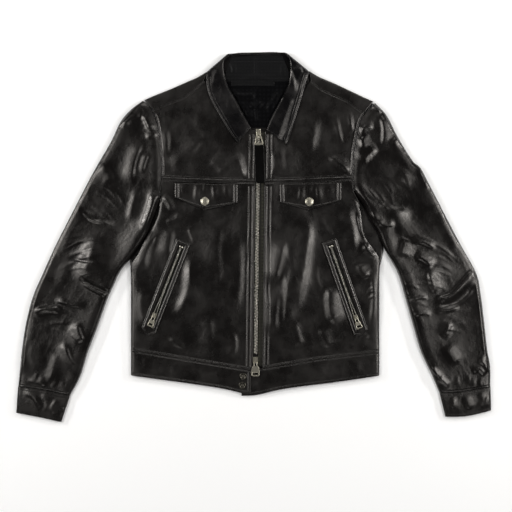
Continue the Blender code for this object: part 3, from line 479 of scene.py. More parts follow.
@dataclass(frozen=True)
class GlazedLeather(Finish):
    """Full-grain cowhide, dyed through and glazed: a near-black hide under a thin resin glaze.

    The eye gets a warm soft gleam on every ridge, broken by fine grain, and dull patches where the glaze
    has worn.
    """

    name: str
    dark: str = "#040303"
    worn: str = "#0b0908"
    roughness: tuple[float, float] = (0.22, 0.38)
    grain_mm: float = 1.5        # drawn a little coarser than real grain, so that it shows
    crease_mm: float = 9.0
    grain_depth: float = 0.1
    crease_depth: float = 0.22
    specular: float = 0.6

    def build(self, tree: bpy.types.NodeTree) -> None:
        """Grain, small creases, stitched grooves and uneven glaze."""
        place = add_node(tree, "ShaderNodeTexCoord").outputs["Object"]
        cells = add_node(tree, "ShaderNodeTexVoronoi", {"Vector": place},
                         {"Scale": 1 / (self.grain_mm * MM), "Randomness": 1.0}, feature="F1")
        wide = add_node(tree, "ShaderNodeTexNoise", {"Vector": place},
                        {"Scale": 1 / (self.crease_mm * MM), "Detail": 4.0, "Roughness": 0.62,
                         "Distortion": 0.6})
        glaze = add_node(tree, "ShaderNodeTexNoise", {"Vector": place},
                         {"Scale": 1 / (42 * MM), "Detail": 5.0, "Roughness": 0.6})
        rough = add_node(tree, "ShaderNodeMapRange", {"Value": glaze.outputs["Fac"]},
                         {"From Min": 0.36, "From Max": 0.64, "To Min": self.roughness[0],
                          "To Max": self.roughness[1]})
        tint = add_node(tree, "ShaderNodeMix", {"Factor": glaze.outputs["Fac"]},
                        {"A": linear(self.dark), "B": linear(self.worn)}, data_type="RGBA")
        stitch = add_node(tree, "ShaderNodeAttribute", attribute_name="stitch")
        groove = add_node(tree, "ShaderNodeMapRange", {"Value": stitch.outputs["Fac"]},
                          {"From Min": 0.0, "From Max": 1.4, "To Min": 0.0, "To Max": 1.0},
                          interpolation_type="SMOOTHSTEP")
        small = add_node(tree, "ShaderNodeBump", {"Height": cells.outputs["Distance"]},
                         {"Strength": self.grain_depth, "Distance": 0.3 * MM})
        soft = add_node(tree, "ShaderNodeBump",
                        {"Height": wide.outputs["Fac"], "Normal": small.outputs["Normal"]},
                        {"Strength": self.crease_depth, "Distance": 1.6 * MM})
        seam = add_node(tree, "ShaderNodeBump",
                        {"Height": groove.outputs["Result"], "Normal": soft.outputs["Normal"]},
                        {"Strength": 0.6, "Distance": 0.5 * MM})
        shader = add_node(tree, "ShaderNodeBsdfPrincipled",
                          {"Base Color": tint.outputs["Result"], "Roughness": rough.outputs["Result"],
                           "Normal": seam.outputs["Normal"]},
                          {"Specular IOR Level": self.specular, "IOR": 1.5,
                           "Specular Tint": linear("#fffaf5")})
        self.end(tree, shader)


@dataclass(frozen=True)
class Woven(Finish):
    """Cotton or polyester cloth: threads over and under each other, with no gloss."""

    name: str
    base: str
    light: str
    thread_mm: float = 1.3       # drawn coarser than the real threads, so that the ribs show
    roughness: float = 0.85
    sheen: float = 0.15
    specular: float = 0.2

    def build(self, tree: bpy.types.NodeTree) -> None:
        """Two crossed sets of threads."""
        place = add_node(tree, "ShaderNodeTexCoord").outputs["Object"]
        waves = [add_node(tree, "ShaderNodeTexWave", {"Vector": place},
                          {"Scale": 1 / (self.thread_mm * MM * 20), "Distortion": 0.4},
                          bands_direction=way) for way in ("X", "Y")]
        both = add_node(tree, "ShaderNodeMath",
                        {0: waves[0].outputs["Fac"], 1: waves[1].outputs["Fac"]}, operation="MULTIPLY")
        tint = add_node(tree, "ShaderNodeMix", {"Factor": both.outputs[0]},
                        {"A": linear(self.base), "B": linear(self.light)}, data_type="RGBA")
        bump = add_node(tree, "ShaderNodeBump", {"Height": both.outputs[0]},
                        {"Strength": 0.5, "Distance": 0.4 * MM})
        shader = add_node(tree, "ShaderNodeBsdfPrincipled",
                          {"Base Color": tint.outputs["Result"], "Normal": bump.outputs["Normal"]},
                          {"Roughness": self.roughness, "Sheen Weight": self.sheen,
                           "Specular IOR Level": self.specular})
        self.end(tree, shader)


@dataclass(frozen=True)
class PlatedMetal(Finish):
    """Nickel-plated zinc, tumbled: bright where it is rubbed and tarnished in its hollows."""

    name: str
    bright: str
    dull: str
    roughness: tuple[float, float] = (0.2, 0.42)

    def build(self, tree: bpy.types.NodeTree) -> None:
        """Patches of tarnish and fine tumbling marks."""
        place = add_node(tree, "ShaderNodeTexCoord").outputs["Object"]
        patchy = add_node(tree, "ShaderNodeTexNoise", {"Vector": place},
                          {"Scale": 1 / (5 * MM), "Detail": 4.0})
        tint = add_node(tree, "ShaderNodeMix", {"Factor": patchy.outputs["Fac"]},
                        {"A": linear(self.bright), "B": linear(self.dull)}, data_type="RGBA")
        rough = add_node(tree, "ShaderNodeMapRange", {"Value": patchy.outputs["Fac"]},
                         {"To Min": self.roughness[0], "To Max": self.roughness[1]})
        marks = add_node(tree, "ShaderNodeTexNoise", {"Vector": place}, {"Scale": 1 / (0.8 * MM)})
        bump = add_node(tree, "ShaderNodeBump", {"Height": marks.outputs["Fac"]},
                        {"Strength": 0.15, "Distance": 0.1 * MM})
        shader = add_node(tree, "ShaderNodeBsdfPrincipled",
                          {"Base Color": tint.outputs["Result"], "Roughness": rough.outputs["Result"],
                           "Normal": bump.outputs["Normal"]}, {"Metallic": 1.0})
        self.end(tree, shader)


@dataclass(frozen=True)
class SpunThread(Finish):
    """Bonded polyester thread: hard, round and a little glossy."""

    name: str
    base: str

    def build(self, tree: bpy.types.NodeTree) -> None:
        """A twist along each stitch."""
        place = add_node(tree, "ShaderNodeTexCoord").outputs["Object"]
        twist = add_node(tree, "ShaderNodeTexNoise", {"Vector": place}, {"Scale": 1 / (0.9 * MM)})
        tint = add_node(tree, "ShaderNodeMix", {"Factor": twist.outputs["Fac"]},
                        {"A": linear(self.base), "B": linear("#151312")}, data_type="RGBA")
        shader = add_node(tree, "ShaderNodeBsdfPrincipled", {"Base Color": tint.outputs["Result"]},
                          {"Roughness": 0.55, "Specular IOR Level": 0.35})
        self.end(tree, shader)


@dataclass(frozen=True)
class MattBoard(Finish):
    """White painted board: the surface that the jacket lies on."""

    name: str = "matt_white_board"
    base: str = "#fcfcfc"

    def build(self, tree: bpy.types.NodeTree) -> None:
        """Very faint unevenness, under the eye's notice."""
        place = add_node(tree, "ShaderNodeTexCoord").outputs["Object"]
        cloud = add_node(tree, "ShaderNodeTexNoise", {"Vector": place}, {"Scale": 1.5})
        tint = add_node(tree, "ShaderNodeMix", {"Factor": cloud.outputs["Fac"]},
                        {"A": linear(self.base), "B": linear("#fefefe")}, data_type="RGBA")
        shader = add_node(tree, "ShaderNodeBsdfPrincipled", {"Base Color": tint.outputs["Result"]},
                          {"Roughness": 0.9, "Specular IOR Level": 0.1})
        self.end(tree, shader)


SHELL = GlazedLeather("glazed_black_cowhide")
SLEEVE_HIDE = GlazedLeather("glazed_black_cowhide_sleeve", crease_mm=8.0, roughness=(0.19, 0.33))
COLLAR_HIDE = GlazedLeather("glazed_black_cowhide_collar", dark="#040405", worn="#080709",
                            roughness=(0.18, 0.4), crease_depth=0.14, specular=0.42)
TAB_HIDE = GlazedLeather("waxed_black_zip_tab", dark="#030303", worn="#060606", roughness=(0.2, 0.3),
                         specular=0.22)
LINING = Woven("black_viscose_twill", "#010102", "#060608", roughness=0.4, sheen=0.0, specular=0.09)
STAND_CLOTH = Woven("black_collar_melton", "#030304", "#080809", thread_mm=1.0, roughness=0.5, sheen=0.0,
                    specular=0.15)
ZIP_TAPE = Woven("olive_black_zip_tape", "#1f1e1a", "#34332a", thread_mm=1.1, sheen=0.05)
POCKET_TAPE = Woven("black_pocket_zip_tape", "#0b0b09", "#191813", thread_mm=1.1, sheen=0.0)
NICKEL = PlatedMetal("tumbled_antique_nickel", "#e4dfd0", "#a09a87", roughness=(0.22, 0.44))
TEETH_METAL = PlatedMetal("polished_nickel_teeth", "#f4f0e6", "#a39e91", roughness=(0.24, 0.42))
POCKET_TEETH = PlatedMetal("grey_pocket_teeth", "#e2dfd6", "#a29e92", roughness=(0.32, 0.5))
DARK_NICKEL = PlatedMetal("blackened_nickel", "#56534c", "#2b2925", roughness=(0.25, 0.4))
THREAD = SpunThread("black_bonded_thread", "#060505")


# ---- Meshes ------------------------------------------------------------------------------------------
def make_object(name: str, mesh: bpy.types.Mesh, finish: Finish) -> bpy.types.Object:
    """Links an object of the mesh, smooth and with its finish."""
    obj = bpy.data.objects.new(name, mesh)
    bpy.context.scene.collection.objects.link(obj)
    mesh.materials.clear()
    mesh.materials.append(finish.material())
    mesh.polygons.foreach_set("use_smooth", [True] * len(mesh.polygons))
    return obj


@contextmanager
def edited(mesh: bpy.types.Mesh) -> Iterator[bmesh.types.BMesh]:
    """The mesh opened for editing, and written back at the end."""
    bm = bmesh.new()
    bm.from_mesh(mesh)
    yield bm
    bm.to_mesh(mesh)
    bm.free()


def grid_object(name: str, points: np.ndarray, finish: Finish, wall: float,
                stitch: np.ndarray | None = None, ring: bool = False,
                offset: float = -1.0) -> bpy.types.Object:
    """A cloth piece: a fine sheet of points with a wall.

    Args:
        name: The piece's name.
        points: Rows of columns of x, y, z, mm.
        finish: What it is made of.
        wall: Its thickness, mm.
        stitch: Distance from each point to the nearest line of stitches, mm.
        ring: Whether each row closes on itself.
        offset: Where the wall lies: -1 under the sheet, 0 half on each side.

    Returns:
        The object, with its wall still a modifier.
    """
    rows, columns = points.shape[:2]
    index = np.arange(rows * columns).reshape(rows, columns)
    if ring:
        index = np.hstack([index, index[:, :1]])
    quads = np.stack([index[:-1, :-1], index[:-1, 1:], index[1:, 1:], index[1:, :-1]], -1).reshape(-1, 4)
    flat = points.reshape(-1, 3)
    a, b, c = (flat[quads[:, k]] for k in (0, 1, 3))
    if not ring and np.cross(b - a, c - a)[:, 2].sum() < 0:
        quads = quads[:, ::-1]
    mesh = bpy.data.meshes.new(name)
    mesh.from_pydata((flat * MM).tolist(), [], quads.tolist())
    if ring:
        with edited(mesh) as bm:
            bmesh.ops.recalc_face_normals(bm, faces=bm.faces)
    if stitch is None:
        stitch = np.full(len(flat), FAR)
    layer = mesh.attributes.new("stitch", "FLOAT", "POINT")
    layer.data.foreach_set("value", stitch.reshape(-1).astype(np.float32))
    obj = make_object(name, mesh, finish)
    solid = obj.modifiers.new("wall", "SOLIDIFY")
    solid.thickness = wall * MM
    solid.offset = offset
    solid.use_even_offset = False
    return obj


def baked(obj: bpy.types.Object) -> bpy.types.Object:
    """Turns the object's modifiers into plain mesh and removes them."""
    graph = bpy.context.evaluated_depsgraph_get()
    mesh = bpy.data.meshes.new_from_object(obj.evaluated_get(graph), depsgraph=graph)
    mesh.name = obj.name
    obj.modifiers.clear()
    obj.data = mesh
    return obj


def stitch_distance(lines: Sequence[np.ndarray], places: np.ndarray) -> np.ndarray:
    """Distance from each place to the nearest line of stitches."""
    best = np.full(len(places), FAR)
    for line in lines:
        best = np.minimum(best, nearest(line, places)[0])
    return best


def level(height: float) -> Height:
    """An even height, mm."""
    return lambda places: np.full(len(places), height)


@dataclass
class Relief:
    """A sheet's height over the ground, and what is sewn into it.

    Args:
        base: Height of the smooth sheet at places, mm.
        folds: Listed folds.
        stitches: Lines of stitches on it.
        bands: Raised seam allowances: line, width to its left as it runs, and rise.
        crumple_way: Which way small creases run, degrees.
        crumple_rise: Their height, mm.
        seed: Which creases.
        drape_rise: Height of the slow waves that loose leather lies in, mm.
        loose: How free the leather is at places, from 0 at a held edge to 1.
    """

    base: Height
    folds: Sequence[Fold] = ()
    stitches: Sequence[np.ndarray] = ()
    bands: Sequence[tuple[np.ndarray, float, float]] = ()
    crumple_way: float = 80.0
    crumple_rise: float = 1.1
    seed: int = 1
    drape_rise: float = 0.0
    loose: Height | None = None

    def heights(self, places: np.ndarray) -> np.ndarray:
        """Height at each place, mm."""
        free = self.loose(places) if self.loose else 1.0
        z = self.base(places) + folded(self.folds, places) * free
        calm = free
        if self.stitches:
            near = stitch_distance(self.stitches, places)
            calm = free * (0.3 + 0.7 * smooth(2, 16, near))
            rise, off, half = SWELL
            depth, reach = GROOVE
            z += rise * np.exp(-((near - off) / half) ** 2) - depth * np.exp(-(near / reach) ** 2)
        z += self.crumple_rise * calm * (crumple(places, self.crumple_way, self.seed) - 0.3)
        if self.drape_rise:
            z += self.drape_rise * calm * drape(places, self.crumple_way, self.seed + 40)
        for line, width, rise in self.bands:
            d, _share, side = nearest(line, places)
            signed = d * side * math.copysign(1, width)
            far_edge = smooth(abs(width) - 1.0, abs(width) + 1.2, signed)
            z += rise * smooth(-1.2, 0.6, signed) * (1 - far_edge)
        return z

    def sheet(self, name: str, plan: np.ndarray, finish: Finish, wall: float = WALL) -> bpy.types.Object:
        """The sheet over a plan of x, y points."""
        places = plan.reshape(-1, 2)
        points = np.column_stack([places, self.heights(places)]).reshape(*plan.shape[:2], 3)
        stitch = stitch_distance(self.stitches, places)
        return grid_object(name, points, finish, wall, stitch)


class Repeater:
    """Repeats one small shape along lines with Geometry Nodes."""

    NAME = ""
    INPUTS: tuple[str, ...] = ()
    FINISH: Finish

    def __init__(self) -> None:
        """Builds the tree once: points along each curve, and the shape turned along it on each."""
        self.tree = tree = bpy.data.node_groups.new(self.NAME, "GeometryNodeTree")
        sockets = tree.interface
        sockets.new_socket("Geometry", in_out="INPUT", socket_type="NodeSocketGeometry")
        for name in self.INPUTS:
            sockets.new_socket(name, in_out="INPUT", socket_type="NodeSocketFloat")
        sockets.new_socket("Geometry", in_out="OUTPUT", socket_type="NodeSocketGeometry")
        start = add_node(tree, "NodeGroupInput").outputs
        points = add_node(tree, "GeometryNodeCurveToPoints",
                          {"Curve": start["Geometry"], "Length": start["Pitch"]}, mode="LENGTH")
        way = add_node(tree, "FunctionNodeAlignRotationToVector", {"Vector": points.outputs["Tangent"]},
                       axis="X")
        placed = add_node(tree, "GeometryNodeInstanceOnPoints",
                          {"Points": points.outputs["Points"], "Instance": self.shape(start),
                           "Rotation": way.outputs["Rotation"]})
        real = add_node(tree, "GeometryNodeRealizeInstances", {"Geometry": placed.outputs["Instances"]})
        dressed = add_node(tree, "GeometryNodeSetMaterial", {"Geometry": real.outputs["Geometry"]},
                           {"Material": self.FINISH.material()})
        add_node(tree, "NodeGroupOutput", {"Geometry": dressed.outputs["Geometry"]})

    def shape(self, start: bpy.types.NodeOutputs) -> bpy.types.NodeSocket:
        """The shape to repeat, lying along X, from the tree's inputs."""
        raise NotImplementedError

    def along(self, name: str, runs: Sequence[np.ndarray], sizes: Sequence[float]) -> bpy.types.Mesh:
        """The shape along each run.

        Args:
            name: The mesh's name.
            runs: Lines of x, y, z, mm.
            sizes: Values of the tree's inputs, in their order, mm.

        Returns:
            One plain mesh.
        """
        curve = bpy.data.curves.new(name + "_runs", "CURVE")
        curve.dimensions = "3D"
        for run in runs:
            spline = curve.splines.new("POLY")
            spline.points.add(len(run) - 1)
            spline.points.foreach_set("co", np.column_stack([run * MM, np.ones(len(run))]).reshape(-1))
        holder = bpy.data.objects.new(name + "_holder", curve)
        bpy.context.scene.collection.objects.link(holder)
        mod = holder.modifiers.new(self.NAME, "NODES")
        mod.node_group = self.tree
        values = dict(zip(self.INPUTS, sizes))
        for item in self.tree.interface.items_tree:
            if item.in_out == "INPUT" and item.name in values:
                mod[item.identifier] = values[item.name] * MM
        graph = bpy.context.evaluated_depsgraph_get()
        mesh = bpy.data.meshes.new_from_object(holder.evaluated_get(graph), depsgraph=graph)
        bpy.data.objects.remove(holder, do_unlink=True)
        mesh.name = name
        return mesh


class Stitcher(Repeater):
    """Sews lines of stitches: one short round thread for each stitch."""

    NAME = "stitches"
    INPUTS = ("Pitch", "Length", "Radius")
    FINISH = THREAD
    SIZES = (3.6, 2.7, 0.34)

    def __init__(self) -> None:
        """Starts with nothing sewn."""
        super().__init__()
        self.runs: list[np.ndarray] = []

    def shape(self, start: bpy.types.NodeOutputs) -> bpy.types.NodeSocket:
        """A round thread."""
        thread = add_node(self.tree, "GeometryNodeMeshCylinder",
                          {"Radius": start["Radius"], "Depth": start["Length"]},
                          {"Vertices": 6, "Side Segments": 1})
        turn = add_node(self.tree, "GeometryNodeTransform", {"Geometry": thread.outputs["Mesh"]},
                        {"Rotation": (0.0, math.pi / 2, 0.0)})
        return turn.outputs["Geometry"]

    def sew(self, line: np.ndarray, heights: np.ndarray | float) -> None:
        """Adds one run of stitches along a line at these heights, mm."""
        self.runs.append(np.column_stack([line, np.broadcast_to(heights, len(line))]))

    def follow(self, relief: Relief, line: np.ndarray) -> None:
        """Sews along a line on a relief, with its height taken about every 6 mm."""
        fine = at_lengths(line, np.linspace(0, 1, max(8, round(length_of(line) / 6))))
        self.sew(fine, relief.heights(fine))

    def finish(self, name: str) -> bpy.types.Object:
        """All runs as one plain mesh."""
        mesh = self.along(name, self.runs, self.SIZES)
        log.info("%s: %d runs, %d faces", name, len(self.runs), len(mesh.polygons))
        return make_object(name, mesh, THREAD)


class Teeth(Repeater):
    """Zip teeth: two rows of small blocks that lock into each other."""

    NAME = "teeth"
    INPUTS = ("Pitch", "Width", "Length", "Height")
    FINISH = TEETH_METAL
    SAMPLES = 60             # places along a row's line
    BEVEL_SHARE = 0.3        # how far a tooth's worn edges are cut back, as a share of its least size

    def shape(self, start: bpy.types.NodeOutputs) -> bpy.types.NodeSocket:
        """A block."""
        size = add_node(self.tree, "ShaderNodeCombineXYZ",
                        {"X": start["Length"], "Y": start["Width"], "Z": start["Height"]})
        block = add_node(self.tree, "GeometryNodeMeshCube", {"Size": size.outputs["Vector"]},
                         {"Vertices X": 2, "Vertices Y": 2, "Vertices Z": 2})
        return block.outputs["Mesh"]

    def chain(self, name: str, middle: np.ndarray, heights: np.ndarray, apart: float | np.ndarray,
              pitch: float, size: tuple[float, float, float], finish: Finish) -> bpy.types.Object:
        """One zip chain along a line.

        Args:
            name: The piece's name.
            middle: The chain's middle line, mm.
            heights: Height of the teeth's middle along it, mm.
            apart: From the middle to the middle of each row, mm.
            pitch: From tooth to tooth in one row, mm.
            size: A tooth's length along the chain, width across and height, mm.
            finish: The teeth's metal.

        Returns:
            The chain as a plain mesh.
        """
        line = np.column_stack([middle, heights])
        total = length_of(middle)
        rows = []
        for row, side in enumerate((-1, 1)):
            offset = row * pitch / 2 / total
            placed = at_lengths(line, np.linspace(offset, 1 - pitch / total + offset, self.SAMPLES))
            placed[:, :2] = moved(placed[:, :2], side * apart)
            rows.append(placed)
        mesh = self.along(name, rows, (pitch, size[1], size[0], size[2]))
        obj = make_object(name, mesh, finish)
        bevel = obj.modifiers.new("worn_edges", "BEVEL")
        bevel.width = min(size) * self.BEVEL_SHARE * MM
        bevel.segments = 1
        log.info("%s: %d teeth", name, len(mesh.polygons) // 6)
        return baked(obj)


def dress(obj: bpy.types.Object, body: str, slot: str, *nodes: str) -> bpy.types.Object:
    """Lets a piece ride on a body and stand for CAD nodes, which it hides."""
    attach(obj, body)
    if nodes:
        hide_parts(*nodes)
    log.info("%s stands for %s", obj.name, ", ".join(nodes) or "nothing of its own")
    return obj


# ---- Body --------------------------------------------------------------------------------------------
def zip_x(y: np.ndarray | float) -> np.ndarray | float:
    """Middle of the front zip's teeth at this height of the body."""
    return 4.0 + 6.0 * (y + 228.0) / 436.0


def near_zip(places: np.ndarray) -> np.ndarray:
    """1 beside the zip and 0 well away from it."""
    return 1 - smooth(12, 62, np.abs(places[:, 0] - zip_x(places[:, 1])))


def heights_near(points: np.ndarray, places: np.ndarray) -> np.ndarray:
    """Height of the point that lies nearest to each place."""
    return np.array([points[np.argmin(((points[:, :2] - p) ** 2).sum(axis=1)), 2] for p in places])


SIDE_LINE = {side: line_through(points) for side, points in BODY_SIDE.items()}
OUTER_LINE = {side: line_through(points) for side, points in SLEEVE_OUTER.items()}
INNER_LINE = {side: line_through(points) for side, points in SLEEVE_INNER.items()}
BACK_LINE = {side: line_through(points) for side, points in BACK_SIDE.items()}

FRONT_FOLDS = {
    "left": [
        Fold([(-150, -160), (-124, -104), (-118, -30)], 20, 4.4, -0.5),
        Fold([(-168, -46), (-162, -10), (-158, 24)], 14, 3.4, 0.45),
        Fold([(-214, -76), (-208, -34), (-192, 12)], 15, 3.8, 0.45),
        Fold([(-126, 18), (-119, 2), (-112, -14)], 4.5, 1.2),
        Fold([(-66, -110), (-72, -30), (-62, 36)], 19, 2.8, 0.4),
        Fold([(-34, -160), (-28, -60), (-32, 20)], 15, 2.0),
        Fold([(-206, -180), (-214, -130), (-206, -92)], 12, 2.8, -0.3),
        Fold([(-94, -222), (-84, -190), (-90, -146)], 13, 2.6, 0.3),
        Fold([(-160, -190), (-150, -205), (-130, -215)], 8, 1.8),
        Fold([(-42, -236), (-36, -206), (-42, -180)], 9, 1.8),
        Fold([(-176, 78), (-164, 66), (-156, 46)], 7, 2.6),
        Fold([(-140, 46), (-150, 34), (-172, 28)], 6, 1.8),
        *ripples((-84, -90), 88, 110, 17, 6, 0.6, seed=23),
        *ripples((-200, 0), 62, 34, 8, 4, 0.8, seed=24),
    ],
    "right": [
        Fold([(34, -98), (46, -58), (58, 0)], 16, 5.2, 0.45),
        Fold([(80, -150), (92, -84), (104, 4), (100, 40)], 17, 4.6, 0.45),
        Fold([(38, -194), (40, -150), (46, -100)], 15, 4.2, 0.4),
        Fold([(62, -186), (66, -120), (74, -50)], 14, 3.2, -0.4),
        Fold([(150, -92), (147, -122), (151, -152), (166, -170)], 14, 5.0, 0.4, 0.25),
        Fold([(128, -172), (136, -194), (146, -218)], 11, 2.8),
        Fold([(92, -216), (84, -190), (78, -160)], 12, 2.4),
        Fold([(202, -50), (208, -68), (220, -80)], 11, 3.0),
        Fold([(236, -42), (222, -28), (212, -12)], 6, 3.2, 0.3),
        Fold([(176, 62), (188, 20), (194, -34)], 15, 3.8, -0.45),
        Fold([(200, 50), (207, 14), (220, -12)], 5, 2.4),
        Fold([(228, -64), (232, -120), (226, -180)], 8, 2.4),
        Fold([(130, 44), (150, 20), (166, -10)], 12, 2.0),
        *ripples((222, -96), 22, 30, 6, 8, 1.0, 0.2, seed=25),
        *ripples((96, -70), 96, 110, 17, 5, 0.8, seed=26),
        *ripples((210, -196), 40, 30, 8, 4, 1.0, seed=27),
    ],
}
YOKE_FOLDS = {
    "left": [
        Fold([(-168, 150), (-168, 186), (-172, 214)], 10, 3.0, 0.3),
        Fold([(-18, 108), (-25, 134), (-36, 168)], 15, 3.8, 0.6, 0.4),
        Fold([(-164, 130), (-122, 166), (-92, 196)], 15, 3.2, 0.4),
        Fold([(-120, 230), (-100, 210), (-84, 180)], 16, 1.6),
        Fold([(-84, 150), (-66, 136), (-54, 118)], 14, 1.4),
    ],
    "right": [
        Fold([(104, 150), (114, 196), (118, 240)], 19, 3.4, 0.5, 0.4),
        Fold([(172, 172), (164, 204), (158, 236)], 6, 2.0, 0.5, 0.45),
        Fold([(190, 198), (187, 224), (182, 244)], 5, 2.0, 0.4, 0.45),
        Fold([(140, 154), (162, 142), (190, 120)], 7, 3.0, 0.4),
        Fold([(70, 180), (64, 150), (70, 118)], 16, 2.0),
        Fold([(38, 170), (40, 140), (36, 112)], 9, 1.8),
    ],
}


def over_back(side: str, places: np.ndarray) -> np.ndarray:
    """1 where a sleeve lies on the back panel's edge and 0 well away from it."""
    near, _share, way = nearest(BACK_LINE[side], places)
    inside = way * (-1 if side == "left" else 1) > 0
    lift = np.where(inside, 1.0, 1 - smooth(3, 42, near))
    y = places[:, 1]
    return lift * (1 - smooth(76, 128, y)) * smooth(-125, -62, y)


def front_height(places: np.ndarray) -> np.ndarray:
    """Height of the fronts' outer face, from the folded sides up to the middle."""
    x, y = places.T
    edge = np.zeros(len(places))
    ridge = np.zeros(len(places))
    for side, here in (("left", x < 8), ("right", x >= 8)):
        line = np.vstack([[SIDE_LINE[side][0] - (0, 60)], SIDE_LINE[side]])
        d = nearest(line, places[here])[0]
        edge[here] = rolled(d, 8, 2.5)
        ridge[here] = np.exp(-((d - 13) / 8) ** 2)
    high = smooth(30, 78, y)
    edge = np.maximum(edge, high)
    zipped = near_zip(places)
    low_hem = 1 - smooth(-235, -150, y)
    full = (FRONT_FULL - ZIP_DROP * zipped - HEM_DROP * low_hem * (1 - zipped)
            - SHOULDER_DROP * smooth(90, 240, y))
    low = SIDE_LOW + SIDE_LIFT * smooth(-96, -70, y)
    return low + (full - low) * edge + SIDE_RIDGE * ridge * (1 - high) * (1 - 0.6 * low_hem)


class Fronts:
    """The two fronts, each a yoke over a lower panel, joined by a felled chest seam."""

    def __init__(self, side: Side, sewing: Stitcher) -> None:
        """Takes the side and who sews it."""
        self.side = side
        self.sewing = sewing
        self.key = side.value
        self.left = side is Side.LEFT
        self.chest = line_through(CHEST_SEAM[self.key])
        self.zip_reach = -5.6 if self.left else 13.0

    def zip_edge(self, low: float, high: float) -> np.ndarray:
        """The leather's edge beside the zip."""
        ys = np.linspace(low, high, 9)
        return np.column_stack([zip_x(ys) + self.zip_reach, ys])

    def armhole(self, low: float, high: float) -> np.ndarray:
        """The armhole between two heights, a little inside its line."""
        line = line_through(ARMHOLE[self.key])
        line = line[(line[:, 1] >= low) & (line[:, 1] <= high)]
        return moved(line, SEAM_GAP * self.side.out)

    def zip_rows(self, low: float, high: float) -> list[np.ndarray]:
        """Two rows of stitches beside the zip."""
        rows = []
        for inset in ZIP_ROWS:
            line = self.zip_edge(low, high)
            line[:, 0] += inset * self.side.out
            rows.append(line)
        return rows

    def build(self) -> None:
        """Makes both panels."""
        self.yoke()
        self.lower()

    def yoke(self) -> None:
        """The front yoke, with the chest seam's allowance turned up and stitched twice on it."""
        chest_end = self.chest[0 if self.left else -1]
        hole = np.vstack([chest_end, self.armhole(chest_end[1] + 1, 244 if self.left else 237)])
        neck = line_through(NECKLINE[self.key])
        top = np.vstack([line_through(SHOULDER_SEAM[self.key]), neck[1:]])
        edge = self.zip_edge(self.chest[-1 if self.left else 0][1] + SEAM_GAP, neck[-1][1])
        bottom = moved(self.chest, SEAM_GAP)
        if self.left:
            west, east = hole, edge
        else:
            west, east, top = edge, hole, top[::-1]
        bottom[0], bottom[-1] = west[0], east[0]
        plan = coons(bottom, np.vstack([west[-1:], top[1:-1], east[-1:]]), west, east, 2.0)
        seam = at_lengths(self.chest, np.linspace(0.0, 1, 40))
        rows = [moved(seam, inset) for inset in SEAM_ROWS]
        arm = self.armhole(chest_end[1] + 12, 236)
        shoulder = line_through(SHOULDER_SEAM[self.key])
        rows += [moved(line, EDGE_ROW * self.side.out) for line in (arm, shoulder)]
        rows += self.zip_rows(112, 196)
        relief = Relief(front_height, YOKE_FOLDS[self.key], rows, [(seam, 10.8, 0.8)],
                        crumple_way=78 if self.left else 100, crumple_rise=0.35,
                        seed=11 if self.left else 12, drape_rise=1.4)
        obj = relief.sheet(f"front_yoke_leather_{self.key}", plan, SHELL)
        for row in rows:
            self.sewing.follow(relief, row)
        dress(obj, "garment", "leather", f"front_yoke_{self.key}")

    def lower(self) -> None:
        """The panel from the chest seam to the waistband."""
        chest_end = self.chest[0 if self.left else -1]
        hole = self.armhole(SIDE_LINE[self.key][-1][1] + 2, chest_end[1] - 1)
        outer = np.vstack([moved(SIDE_LINE[self.key], SEAM_GAP * self.side.out), hole,
                           chest_end - (0, SEAM_GAP)])
        band = moved(line_through(BAND_TOP[self.key]), SEAM_GAP)
        edge = self.zip_edge(band[-1 if self.left else 0][1], self.chest[-1 if self.left else 0][1])
        west, east = (outer, edge) if self.left else (edge, outer)
        low = np.vstack([west[:1], band[1:-1], east[:1]])
        high = np.vstack([west[-1:], self.chest[1:-1], east[-1:]])
        plan = coons(low, high, west, east, 2.0)
        rows = self.zip_rows(band[-1 if self.left else 0][1] + 4, 96)
        rows.append(moved(at_lengths(band, np.linspace(0.02, 0.98, 40)), EDGE_ROW))
        relief = Relief(front_height, FRONT_FOLDS[self.key], rows, crumple_way=84 if self.left else 100,
                        crumple_rise=0.4, seed=21 if self.left else 22, drape_rise=1.8)
        obj = relief.sheet(f"front_panel_leather_{self.key}", plan, SHELL)
        for row in rows:
            self.sewing.follow(relief, row)
        dress(obj, "garment", "leather", f"front_lower_{self.key}")


